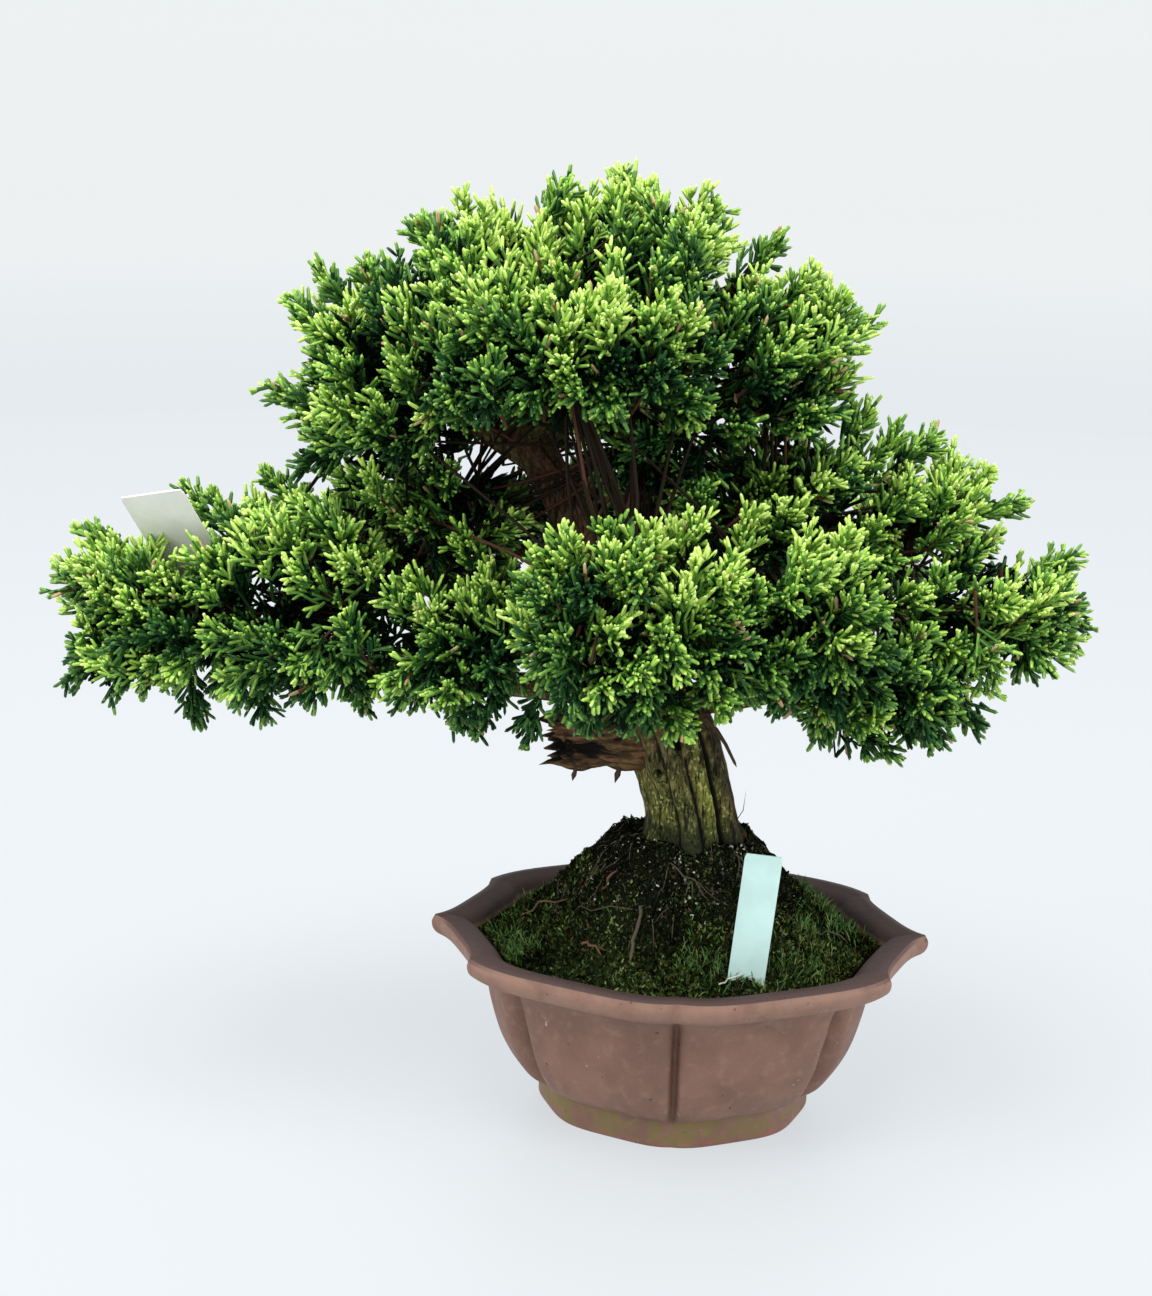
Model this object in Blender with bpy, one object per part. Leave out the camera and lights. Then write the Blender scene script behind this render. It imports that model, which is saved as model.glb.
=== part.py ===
"""A potted Chinese juniper, trained as a small tree, in a lobed stoneware pot.

Metres, +Z up. The origin is the middle of the pot's flat underside, +X runs to the right of the
front view and -Y points at the viewer. The pot, the soil, the trunk, each bough and each mass of
foliage is its own object.
"""

import math
import random

import bmesh
import bpy
from mathutils import Matrix, Vector
from mathutils.geometry import intersect_point_line

CLEARANCE = 0.0003  # gap between pieces that rest against each other
SMOOTH_ANGLE = math.radians(40)
GOLDEN_ANGLE = math.pi * (3 - math.sqrt(5))

# The pot: half sizes of its rim, and how its outline swells between its eight corners.
POT_HALF_WIDTH = 0.118
POT_HALF_DEPTH = 0.085
POT_HEIGHT = 0.092
CORNER_X = 0.81  # the four oblique corners, as shares of the half width and half depth
CORNER_Y = 0.56
PANEL_SHARES = (0, 0.07, 0.25, 0.5, 0.75, 0.93)  # outline points between two corners
PANEL_FLATNESS = 4  # how flat a panel is before it turns in at its corners
DRAIN_RADIUS = 0.008
DRAIN_SIDES = 16
DRAIN_OFFSET = 0.030
FLOOR_HEIGHT = 0.010

# Height, size as a share of the rim, swell of the long and of the short panels, groove depth.
POT_OUTSIDE = (
    (0.000, 0.550, 0.004, 0.001, 0.000),
    (0.012, 0.545, 0.004, 0.001, 0.000),
    (0.014, 0.570, 0.005, 0.002, 0.001),
    (0.022, 0.640, 0.007, 0.004, 0.004),
    (0.036, 0.700, 0.008, 0.005, 0.005),
    (0.054, 0.745, 0.008, 0.005, 0.005),
    (0.070, 0.785, 0.008, 0.003, 0.004),
    (0.077, 0.850, 0.008, 0.000, 0.001),
    (0.080, 0.945, 0.008, -0.002, 0.000),
    (0.083, 0.990, 0.008, -0.004, 0.000),
    (0.088, 1.000, 0.008, -0.004, 0.000),
    (POT_HEIGHT, 0.975, 0.008, -0.004, 0.000),
)
POT_INSIDE = (
    (0.089, 0.850, 0.007, -0.002, 0.000),
    (0.084, 0.820, 0.007, -0.001, 0.000),
    (0.070, 0.735, 0.007, 0.001, 0.003),
    (0.054, 0.690, 0.007, 0.002, 0.004),
    (0.030, 0.620, 0.006, 0.001, 0.004),
    (FLOOR_HEIGHT, 0.480, 0.003, 0.001, 0.000),
)

# The soil: a mossy mound that climbs from the rim to the foot of the trunk.
SOIL_EDGE_HEIGHT = 0.085
GROUND_HEIGHT = 0.138
MOUND_PLATEAU = 0.36  # share of the soil's half size that is level under the trunk
MOUND_EDGE = 0.98  # the same share where the dome meets the flat rim of soil
MOUND_FALL = 1.4
MOUND_RINGS = 6
LUMP_HEIGHT = 0.0036  # of the mossy humps, from hollow to crown
LUMP_SPACING = 0.029
LUMP_FADE = 0.12  # share over which the humps die out towards the trunk and the wall

# The trunk's centre line and radius at seven heights, from the ground to the tip.
TRUNK = (
    (0.005, 0.000, GROUND_HEIGHT, 0.0205),
    (0.002, 0.000, 0.160, 0.0205),
    (-0.009, 0.001, 0.190, 0.0205),
    (-0.031, 0.005, 0.228, 0.0155),
    (-0.058, 0.010, 0.290, 0.0100),
    (-0.082, 0.010, 0.335, 0.0072),
    (-0.060, 0.002, 0.392, 0.0028),
)
TRUNK_RINGS = 22
TRUNK_SIDES = 16
FLUTES = 5
FLUTE_DEPTH = 0.10
FLARE_SPREAD = 0.20  # how much wider the root flare is than the trunk
FLARE_SHARE = 0.10  # share of the trunk's length that the flare takes
FLARE_LOBES = 5

# The dead stub low on the left: station on the trunk, tip, base and tip radius.
STUB = (0.305, (-0.071, -0.008, 0.182), 0.0155, 0.0115)
STUB_SIDES = 12
STUB_TEETH = 0.22  # deepest notch of its broken end, as a share of its length
STUB_RISE = 0.002
STUB_RINGS = 6

# Boughs: station along the trunk, tip, radius at the trunk, radius at the tip, rise of the bend.
BOUGHS = {
    "bough_left": (0.410, (-0.212, -0.006, 0.226), 0.0072, 0.0036, -0.012),
    "bough_left_inner": (0.470, (-0.084, -0.026, 0.228), 0.0044, 0.0026, 0.004),
    "bough_left_back": (0.450, (-0.138, 0.052, 0.243), 0.0052, 0.0028, -0.004),
    "bough_right": (0.375, (0.106, -0.008, 0.231), 0.0072, 0.0034, -0.006),
    "bough_right_back": (0.475, (0.048, 0.052, 0.246), 0.0050, 0.0028, 0.004),
    "bough_front": (0.430, (-0.022, -0.058, 0.240), 0.0058, 0.0032, 0.004),
    "bough_front_right": (0.460, (0.036, -0.036, 0.246), 0.0052, 0.0028, 0.004),
    "bough_back": (0.520, (-0.030, 0.064, 0.262), 0.0052, 0.0028, 0.006),
    "bough_upper_right": (0.575, (0.070, 0.015, 0.284), 0.0052, 0.0028, 0.006),
    "bough_mid_left": (0.590, (-0.112, 0.014, 0.270), 0.0042, 0.0026, 0.004),
    "bough_crown_left": (0.705, (-0.124, -0.002, 0.338), 0.0044, 0.0026, 0.004),
    "bough_crown_right": (0.690, (0.018, 0.002, 0.338), 0.0046, 0.0026, 0.006),
    "bough_crown_front": (0.770, (-0.052, -0.036, 0.350), 0.0038, 0.0024, 0.004),
    "bough_crown_back": (0.740, (-0.048, 0.046, 0.346), 0.0038, 0.0024, 0.004),
}
BOUGH_SIDES = 6
BOUGH_RINGS = 6
LIMB_ROOT = 0.4  # share of the trunk's radius from its middle at which a limb starts
STATIONS = 200  # steps along the trunk that limbs are placed by

# Masses of foliage: the limb that carries each, its middle, and its half sizes across, in depth,
# upwards and downwards.
MASSES = {
    "foliage_left_tip": ("bough_left", (-0.245, -0.008, 0.238), (0.044, 0.046, 0.040, 0.044)),
    "foliage_left_middle": ("bough_left", (-0.176, -0.012, 0.242), (0.050, 0.052, 0.058, 0.046)),
    "foliage_left_back": ("bough_left_back", (-0.150, 0.072, 0.250), (0.052, 0.042, 0.042, 0.038)),
    "foliage_left_inner": ("bough_left_inner", (-0.100, -0.036, 0.234), (0.036, 0.040, 0.036, 0.036)),
    "foliage_middle_left": ("bough_mid_left", (-0.112, 0.022, 0.286), (0.044, 0.050, 0.036, 0.034)),
    "foliage_front": ("bough_front", (-0.024, -0.082, 0.258), (0.056, 0.042, 0.048, 0.048)),
    "foliage_front_right": ("bough_front_right", (0.048, -0.054, 0.255), (0.044, 0.044, 0.044, 0.038)),
    "foliage_right_tip": ("bough_right", (0.130, -0.006, 0.252), (0.050, 0.046, 0.030, 0.031)),
    "foliage_right_low": ("bough_right", (0.086, -0.022, 0.216), (0.044, 0.044, 0.030, 0.027)),
    "foliage_right_upper": ("bough_upper_right", (0.098, 0.022, 0.288), (0.044, 0.046, 0.032, 0.034)),
    "foliage_right_back": ("bough_right_back", (0.066, 0.076, 0.256), (0.054, 0.042, 0.042, 0.038)),
    "foliage_centre_right": ("bough_upper_right", (0.034, 0.010, 0.296), (0.044, 0.048, 0.036, 0.040)),
    "foliage_back": ("bough_back", (-0.038, 0.090, 0.268), (0.056, 0.044, 0.044, 0.042)),
    "foliage_crown_left": ("bough_crown_left", (-0.136, -0.004, 0.346), (0.047, 0.052, 0.045, 0.042)),
    "foliage_crown_top_left": ("trunk", (-0.092, 0.004, 0.384), (0.046, 0.054, 0.042, 0.036)),
    "foliage_crown_top": ("trunk", (-0.030, 0.002, 0.388), (0.046, 0.056, 0.048, 0.036)),
    "foliage_crown_right": ("bough_crown_right", (0.032, 0.002, 0.355), (0.042, 0.054, 0.047, 0.042)),
    "foliage_crown_front": ("bough_crown_front", (-0.056, -0.058, 0.362), (0.060, 0.038, 0.038, 0.032)),
    "foliage_crown_low": ("trunk", (-0.024, -0.014, 0.322), (0.028, 0.034, 0.030, 0.028)),
    "foliage_crown_back": ("bough_crown_back", (-0.048, 0.066, 0.352), (0.066, 0.044, 0.046, 0.042)),
}
FULLNESS = 2.7  # 2 is an ovoid, and more fills out its corners
TREE_HEART = (-0.050, 0.000, 0.270)  # twigs spread away from here
TWIGS = 8
TWIG_SPREAD = 1.72  # how far round from straight out the last twig turns, in heights of a unit sphere
TWIG_LENGTH = 0.70  # share of the way to the edge of the space
TWIG_RADIUS = (0.0016, 0.0008)
CORE_SHARE = 0.82  # size of a mass's core against its space
CORE_LUMPS = 0.10
REACH_LEAST = 0.95  # how near the edge of its space a twig's last spray ends
SPRAY_ROOT = 0.60  # where along the way the last spray starts
SIDE_ROOT = 0.56  # where the side spray starts, and how far it turns aside
SIDE_ANGLE = math.radians(42)
SIDE_LENGTH = 0.94
SPRAY_OUTLINE = ((0, 0), (0.80, 1), (0.62, 0.36), (1, 0), (0.62, -0.36), (0.80, -1))
SPRAY_BELLY = 0.45
SPRAY_WIDTH = 0.50  # half width as a share of length
SPRAY_THICKNESS = 0.12  # half thickness as a share of length
STEM_RADIUS = 0.0022
STEM_SIDES = 4
LIMB_MARGIN = 0.0012  # how far a spray keeps from a limb
SPACE_MARGIN = 0.0004
NEIGHBOUR_LIMIT = 1.25  # masses keep a bound where they lie closer than this share of their radii
CORE_LIMIT = 0.96  # share of its space that a core may fill
NEAR = 1.2  # share of its own size within which a mass is cut clear of a limb

# The plain plant label in the soil and the plain tag stuck into the left bough's foliage.
LABEL_SIZE = (0.0165, 0.0008, 0.0780)
LABEL_FOOT = (0.0285, -0.0550, 0.0720)
LABEL_LEAN = math.radians(5)
TAG_SIZE = (0.030, 0.0008, 0.090)
TAG_TOP = (-0.2365, -0.0330, 0.2970)
TAG_ACROSS = (0.965, -0.183, 0.190)
TAG_DOWN = (0.259, 0.521, -0.814)


def clear_scene():
    for obj in list(bpy.data.objects):
        bpy.data.objects.remove(obj)


def material(name, color, roughness, metallic=0.0):
    made = bpy.data.materials.new(name)
    made.use_nodes = True
    shader = made.node_tree.nodes["Principled BSDF"]
    shader.inputs["Base Color"].default_value = (*color, 1.0)
    shader.inputs["Roughness"].default_value = roughness
    shader.inputs["Metallic"].default_value = metallic
    made.diffuse_color = (*color, 1.0)
    return made


def new_object(name, points, faces, look=None):
    mesh = bpy.data.meshes.new(name)
    mesh.from_pydata([tuple(p) for p in points], [], faces)
    made = bpy.data.objects.new(name, mesh)
    bpy.context.scene.collection.objects.link(made)
    if look:
        mesh.materials.append(look)
    return made


def outward(obj):
    """Turns every face of a closed mesh to point out."""
    shape = bmesh.new()
    shape.from_mesh(obj.data)
    bmesh.ops.recalc_face_normals(shape, faces=shape.faces)
    shape.to_mesh(obj.data)
    shape.free()
    return obj


def smooth(obj, angle=SMOOTH_ANGLE):
    obj.data.shade_smooth()
    obj.data.set_sharp_from_angle(angle=angle)
    return obj


def apply_boolean(obj, operation, others, solver="EXACT"):
    """Joins or cuts obj with others in one Boolean, applies it and removes the others."""
    group = bpy.data.collections.new(obj.name + "_tools")
    bpy.context.scene.collection.children.link(group)
    for other in others:
        bpy.context.scene.collection.objects.unlink(other)
        group.objects.link(other)
    modifier = obj.modifiers.new("join", "BOOLEAN")
    modifier.operation = operation
    modifier.operand_type = "COLLECTION"
    modifier.collection = group
    modifier.solver = solver
    graph = bpy.context.evaluated_depsgraph_get()
    result = bpy.data.meshes.new_from_object(obj.evaluated_get(graph))
    obj.modifiers.clear()
    obj.data = result
    for other in others:
        bpy.data.objects.remove(other)
    bpy.data.collections.remove(group)
    return obj


def bridge(first, second, count):
    """Quads between two rings of point numbers."""
    return [
        (first + i, first + (i + 1) % count, second + (i + 1) % count, second + i)
        for i in range(count)
    ]


def pot_corners():
    """The eight corners of the outline as shares of the half sizes, from the right tip round."""
    return [
        (1, 0), (CORNER_X, CORNER_Y), (0, 1), (-CORNER_X, CORNER_Y),
        (-1, 0), (-CORNER_X, -CORNER_Y), (0, -1), (CORNER_X, -CORNER_Y),
    ]


def pot_ring(height, share, long_swell, short_swell, groove, inset=0.0):
    """One closed outline of the pot: panels that swell between grooved corners."""
    corners = [Vector((x * POT_HALF_WIDTH * share, y * POT_HALF_DEPTH * share)) for x, y in pot_corners()]
    ring = []
    for i, start in enumerate(corners):
        end = corners[(i + 1) % len(corners)]
        along = end - start
        out = Vector((along.y, -along.x)).normalized()
        swell = long_swell if i % 4 in (1, 2) else short_swell
        for part in PANEL_SHARES:
            point = start + along * part + out * swell * (1 - abs(2 * part - 1) ** PANEL_FLATNESS)
            if part == 0:
                point -= point.normalized() * groove
            point -= point.normalized() * inset
            ring.append(Vector((point.x, point.y, height)))
    return ring


def skin(rows):
    """Points and faces of a closed body through rows of equally many points."""
    count = len(rows[0])
    faces = [tuple(reversed(range(count)))]
    for i in range(len(rows) - 1):
        faces += bridge(i * count, (i + 1) * count, count)
    faces.append(tuple(range((len(rows) - 1) * count, len(rows) * count)))
    return [p for row in rows for p in row], faces


def build_pot(look):
    pot = new_object("pot", *skin([pot_ring(*row) for row in POT_OUTSIDE + POT_INSIDE]), look)
    drains = []
    for side in (-1, 1):
        ends = [Vector((side * DRAIN_OFFSET, 0, z)) for z in (-FLOOR_HEIGHT, 2 * FLOOR_HEIGHT)]
        drains.append(tube("drain", [(end, DRAIN_RADIUS) for end in ends], DRAIN_SIDES))
    return smooth(apply_boolean(outward(pot), "DIFFERENCE", drains))


def mound_height(x, y, share):
    """Height of the soil at a spot that lies at a share of the way from its middle to its edge."""
    fall = min(max((share - MOUND_PLATEAU) / (1 - MOUND_PLATEAU), 0), 1)
    dome = (GROUND_HEIGHT - CLEARANCE - SOIL_EDGE_HEIGHT) * (1 - fall) ** MOUND_FALL
    fade = min(max(share - MOUND_PLATEAU, 0), max(MOUND_EDGE - share, 0), LUMP_FADE) / LUMP_FADE
    turn = 2 * math.pi / LUMP_SPACING
    lump = LUMP_HEIGHT / 2 * math.sin(turn * x + 0.5) * math.cos(turn * y)
    return SOIL_EDGE_HEIGHT + dome + lump * fade


def build_soil(look, label_slot):
    """The root ball: a domed mossy top, over a body that fills the pot a hair clear of its wall."""
    inset = 2 * CLEARANCE
    edge = pot_ring(*POT_INSIDE[1], inset)
    rows = []
    for ring in range(MOUND_RINGS + 1):
        share = MOUND_PLATEAU + (MOUND_EDGE - MOUND_PLATEAU) * ring / MOUND_RINGS
        spots = [p.xy * share for p in edge]
        rows.append([Vector((*spot, mound_height(*spot, share))) for spot in spots])
    rows.append(edge)
    for height, *outline in POT_INSIDE[2:]:
        rows.append(pot_ring(max(height, FLOOR_HEIGHT + CLEARANCE), *outline, inset))
    soil = new_object("soil", *skin(rows), look)
    return smooth(apply_boolean(outward(soil), "DIFFERENCE", [label_slot]))


def curve_through(rows, samples):
    """Smooth curve through rows of x, y, z, radius: pairs of a point and a radius."""
    rows = [Vector(row) for row in rows]
    padded = [2 * rows[0] - rows[1], *rows, 2 * rows[-1] - rows[-2]]
    found = []
    for step in range(samples + 1):
        place = step / samples * (len(rows) - 1)
        i = min(int(place), len(rows) - 2)
        t = place - i
        a, b, c, d = padded[i : i + 4]
        row = 2 * b + (c - a) * t + (2 * a - 5 * b + 4 * c - d) * t**2 + (3 * b - a - 3 * c + d) * t**3
        found.append((row.xyz / 2, row.w / 2))
    return found


def tube(name, path, sides, look=None, radius_at=None, first_axis=None):
    """A closed tube along a path of points and radii; radius_at reshapes each ring."""
    rows = []
    across = Vector((0, -1, 0))
    for i, (centre, radius) in enumerate(path):
        ahead = path[min(i + 1, len(path) - 1)][0] - path[max(i - 1, 0)][0]
        ahead = first_axis if i == 0 and first_axis else ahead.normalized()
        across = (across - ahead * across.dot(ahead)).normalized()
        aside = ahead.cross(across)
        row = []
        for side in range(sides):
            angle = 2 * math.pi * side / sides
            reach = radius_at(i / (len(path) - 1), angle, radius) if radius_at else radius
            row.append(centre + (across * math.cos(angle) + aside * math.sin(angle)) * reach)
        rows.append(row)
    return smooth(outward(new_object(name, *skin(rows), look)))


def trunk_radius(share, angle, radius):
    """Fluted bark ridges that fade upwards, over a lobed root flare."""
    flutes = 1 + FLUTE_DEPTH * (1 - share) * math.cos(FLUTES * angle + 5 * share)
    flare = max(0, 1 - share / FLARE_SHARE) ** 2
    lobes = 1 + FLARE_SPREAD * flare * (0.6 + 0.4 * math.cos(FLARE_LOBES * angle))
    return radius * flutes * lobes


def trunk_path(samples=TRUNK_RINGS):
    return curve_through(TRUNK, samples)


def trunk_at(station):
    """Point and radius at a share of the trunk's length."""
    path = trunk_path(STATIONS)
    return path[round(station * STATIONS)]


def limb_path(station, tip, base_radius, tip_radius, rise, rings=BOUGH_RINGS):
    """A bough: it leaves the trunk's surface, bends once and tapers to its tip."""
    start, trunk_radius_there = trunk_at(station)
    tip = Vector(tip)
    away = (tip - start).normalized()
    start = start + away * trunk_radius_there * LIMB_ROOT
    middle = start.lerp(tip, 0.5) + Vector((0, 0, rise))
    path = []
    for i in range(rings + 1):
        t = i / rings
        point = start * (1 - t) ** 2 + middle * 2 * t * (1 - t) + tip * t**2
        path.append((point, base_radius + (tip_radius - base_radius) * t))
    return path


def fatter(path, extra):
    """The same path, wider by extra and longer by it at the tip."""
    ahead = (path[-1][0] - path[-2][0]).normalized()
    wider = [(point, radius + extra) for point, radius in path]
    return [*wider, (path[-1][0] + ahead * extra, path[-1][1] + extra)]


def trunk_cutter(extra):
    path = [(point, radius) for point, radius in trunk_path()]
    return tube(
        "trunk_cutter",
        fatter(path, extra),
        TRUNK_SIDES,
        radius_at=lambda share, angle, radius: trunk_radius(share, angle, radius - extra) + extra,
        first_axis=Vector((0, 0, 1)),
    )


def limb_cutter(name, path):
    return tube(f"{name}_cutter", fatter(path, CLEARANCE), BOUGH_SIDES)


def stem_cutter(name, path):
    return tube(f"{name}_stem_cutter", fatter(path, 2 * CLEARANCE), STEM_SIDES)


def build_trunk(look):
    return tube("trunk", trunk_path(), TRUNK_SIDES, look, trunk_radius, Vector((0, 0, 1)))


def build_bough(name, look):
    bough = tube(name, limb_path(*BOUGHS[name]), BOUGH_SIDES, look)
    return smooth(apply_boolean(bough, "DIFFERENCE", [trunk_cutter(CLEARANCE)]))


def build_stub(look):
    """The dead stub: a short thick limb with a jagged, broken end."""
    station, tip, base_radius, tip_radius = STUB
    path = limb_path(station, tip, base_radius, tip_radius, STUB_RISE, STUB_RINGS)
    stub = tube("dead_stub", path, STUB_SIDES, look)
    end = path[-1][0]
    ahead = (end - path[-2][0]).normalized()
    chance = random.Random(7)
    for vertex in stub.data.vertices:
        if (vertex.co - end).dot(ahead) > -CLEARANCE:
            vertex.co -= ahead * chance.uniform(0, STUB_TEETH) * (end - path[0][0]).length
    cutters = [trunk_cutter(CLEARANCE), limb_cutter("bough_left", limb_path(*BOUGHS["bough_left"]))]
    return smooth(apply_boolean(stub, "DIFFERENCE", cutters))


class Space:
    """The room of one mass: a full ovoid, cut by flat bounds half way to each neighbour."""

    def __init__(self, name):
        self.carrier, middle, self.half_sizes = MASSES[name]
        self.middle = Vector(middle)
        self.bounds = []

    def radius_along(self, direction):
        across, depth, up, down = self.half_sizes
        shares = (direction.x / across, direction.y / depth, direction.z / (up if direction.z > 0 else down))
        return sum(abs(share) ** FULLNESS for share in shares) ** (-1 / FULLNESS)

    def keep_off(self, other):
        """Adds the bound towards a neighbour, placed by the two radii along the line between."""
        line = other.middle - self.middle
        direction = line.normalized()
        mine = self.radius_along(direction)
        theirs = other.radius_along(-direction)
        if line.length < (mine + theirs) * NEIGHBOUR_LIMIT:
            self.bounds.append((direction, line.length * mine / (mine + theirs) - SPACE_MARGIN))

    def holds(self, point):
        offset = point - self.middle
        return all(offset.dot(direction) <= reach for direction, reach in self.bounds)

    def reach(self, direction):
        """How far the space runs from its middle along a direction."""
        far = self.radius_along(direction)
        for normal, reach in self.bounds:
            lean = direction.dot(normal)
            if lean > 1e-6:
                far = min(far, reach / lean)
        return far


def twig_directions(space, chance):
    """Directions spread evenly from straight out of the tree round to the sides and back."""
    outward_line = (space.middle - Vector(TREE_HEART)).normalized()
    turn = Vector((0, 0, 1)).rotation_difference(outward_line).to_matrix()
    for number in range(TWIGS):
        height = 1 - TWIG_SPREAD * number / (TWIGS - 1)
        angle = number * GOLDEN_ANGLE + chance.uniform(-0.2, 0.2)
        flat = math.sqrt(max(0, 1 - height**2))
        yield turn @ Vector((flat * math.cos(angle), flat * math.sin(angle), height))


def spray(root, tip, facing):
    """A spray of needles as one toothed blade, thickest at its belly."""
    along = tip - root
    across = along.cross(facing).normalized()
    normal = along.cross(across).normalized() * along.length * SPRAY_THICKNESS
    across *= along.length * SPRAY_WIDTH
    belly = root + along * SPRAY_BELLY
    points = [root + along * t + across * side for t, side in SPRAY_OUTLINE]
    count = len(points)
    points += [belly + normal, belly - normal]
    faces = []
    for i in range(count):
        faces.append((i, (i + 1) % count, count))
        faces.append(((i + 1) % count, i, count + 1))
    return points, faces


def gap_to(point, path):
    """Distance from a point to the side of a limb."""
    gaps = []
    for (start, radius), (end, _) in zip(path, path[1:]):
        nearest, share = intersect_point_line(point, start, end)
        nearest = start if share < 0 else end if share > 1 else nearest
        gaps.append((point - nearest).length - radius)
    return min(gaps)


def clear_of_limbs(points, limbs):
    return all(gap_to(point, path) > LIMB_MARGIN for point in points for path in limbs)


def grow(name, space, seed, limbs):
    """Twigs from the heart of a mass, each with a spray at its end and one at its side."""
    chance = random.Random(seed)
    parts = []
    for direction in twig_directions(space, chance):
        tip = space.middle + direction * space.reach(direction) * chance.uniform(REACH_LEAST, 1)
        way = tip - space.middle
        facing = Vector([chance.uniform(-1, 1) for _ in range(3)])
        turn = Matrix.Rotation(chance.choice((-1, 1)) * SIDE_ANGLE, 3, way.cross(facing))
        end_root = space.middle + way * SPRAY_ROOT
        side_root = space.middle + way * SIDE_ROOT
        side_tip = side_root + turn @ way * (1 - SIDE_ROOT) * SIDE_LENGTH
        kept = []
        for root, end in ((end_root, tip), (side_root, side_tip)):
            points, faces = spray(root, end, facing)
            if all(space.holds(p) for p in points) and clear_of_limbs(points[1:], limbs):
                kept.append(new_object(f"{name}_spray", points, faces))
        if kept:
            twig = [(space.middle, TWIG_RADIUS[0]), (space.middle + way * TWIG_LENGTH, TWIG_RADIUS[1])]
            parts += [*map(outward, kept), tube(f"{name}_twig", twig, 3)]
    return parts


def core_of(name, space, look, seed):
    """The dense, shaded heart of a mass: a lumpy ovoid inside its space."""
    chance = random.Random(f"core {seed}")
    shape = bmesh.new()
    bmesh.ops.create_icosphere(shape, subdivisions=2, radius=1)
    for vertex in shape.verts:
        direction = vertex.co.normalized()
        lump = CORE_SHARE * (1 + chance.uniform(-CORE_LUMPS, CORE_LUMPS))
        own = space.radius_along(direction) * lump
        vertex.co = space.middle + direction * min(own, space.reach(direction) * CORE_LIMIT)
    mesh = bpy.data.meshes.new(name)
    shape.to_mesh(mesh)
    shape.free()
    made = bpy.data.objects.new(name, mesh)
    bpy.context.scene.collection.objects.link(made)
    mesh.materials.append(look)
    return outward(made)


def keep_largest(obj):
    """Drops loose scraps that a cut leaves behind."""
    shape = bmesh.new()
    shape.from_mesh(obj.data)
    unseen = set(shape.verts)
    groups = []
    while unseen:
        stack = [unseen.pop()]
        group = set(stack)
        while stack:
            for edge in stack.pop().link_edges:
                for vertex in edge.verts:
                    if vertex in unseen:
                        unseen.discard(vertex)
                        group.add(vertex)
                        stack.append(vertex)
        groups.append(group)
    groups.sort(key=len, reverse=True)
    loose = [vertex for group in groups[1:] for vertex in group]
    bmesh.ops.delete(shape, geom=loose, context="VERTS")
    bmesh.ops.triangulate(shape, faces=shape.faces)
    shape.to_mesh(obj.data)
    shape.free()
    return obj


def stem_path(space, limbs):
    """A mass's stem runs from the tip of its bough, or from the trunk's side, to its heart."""
    carrier = limbs[space.carrier]
    centres = [centre for centre, _ in carrier]
    if space.carrier == "trunk":
        start = min(centres, key=lambda centre: (centre - space.middle).length)
    else:
        start = centres[-1]
    return [(start, STEM_RADIUS), (space.middle, STEM_RADIUS)]


def build_mass(name, space, look, limbs, stems):
    """One mass: core, stem, twigs and sprays in one body, clear of the limbs and of other stems."""
    names = list(stems)
    number = names.index(name)
    near = max(space.half_sizes) * NEAR
    mass = core_of(name, space, look, number)
    apply_boolean(mass, "UNION", grow(name, space, number, list(limbs.values())), "MANIFOLD")
    others = [other for other in names if other != name and gap_to(space.middle, stems[other]) < near]
    cutters = [stem_cutter(other, stems[other]) for other in others]
    if cutters:
        apply_boolean(mass, "DIFFERENCE", cutters, "MANIFOLD")
    apply_boolean(mass, "UNION", [tube(f"{name}_stem", stems[name], STEM_SIDES)], "MANIFOLD")
    cutters = [stem_cutter(other, stems[other]) for other in others if names.index(other) < number]
    for limb, path in limbs.items():
        if limb != space.carrier and gap_to(space.middle, path) > near:
            continue
        cutters.append(trunk_cutter(CLEARANCE) if limb == "trunk" else limb_cutter(limb, path))
    if (space.middle - Vector(TAG_TOP)).length < TAG_SIZE[2]:
        cutters.append(tag_box("tag_cutter", CLEARANCE))
    return keep_largest(apply_boolean(mass, "DIFFERENCE", cutters, "MANIFOLD"))


def plate(name, size, place, extra=0.0, look=None):
    """A thin upright plate, its foot at the local origin, set in place by a matrix."""
    wide, thick, tall = size
    points = [
        (x * (wide / 2 + extra), y * (thick / 2 + extra), z)
        for z in (-extra, tall + extra)
        for x, y in ((-1, -1), (1, -1), (1, 1), (-1, 1))
    ]
    faces = [(3, 2, 1, 0), (4, 5, 6, 7), *bridge(0, 4, 4)]
    made = outward(new_object(name, points, faces, look))
    made.data.transform(place)
    return made


def label_box(name, extra=0.0, look=None):
    place = Matrix.Translation(LABEL_FOOT) @ Matrix.Rotation(LABEL_LEAN, 4, "Y")
    return plate(name, LABEL_SIZE, place, extra, look)


def tag_box(name, extra=0.0, look=None):
    down = Vector(TAG_DOWN).normalized()
    across = Vector(TAG_ACROSS)
    across = (across - down * across.dot(down)).normalized()
    turn = Matrix((across, (-down).cross(across), -down)).transposed().to_4x4()
    foot = Vector(TAG_TOP) + down * TAG_SIZE[2]
    return plate(name, TAG_SIZE, Matrix.Translation(foot) @ turn, extra, look)


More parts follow.
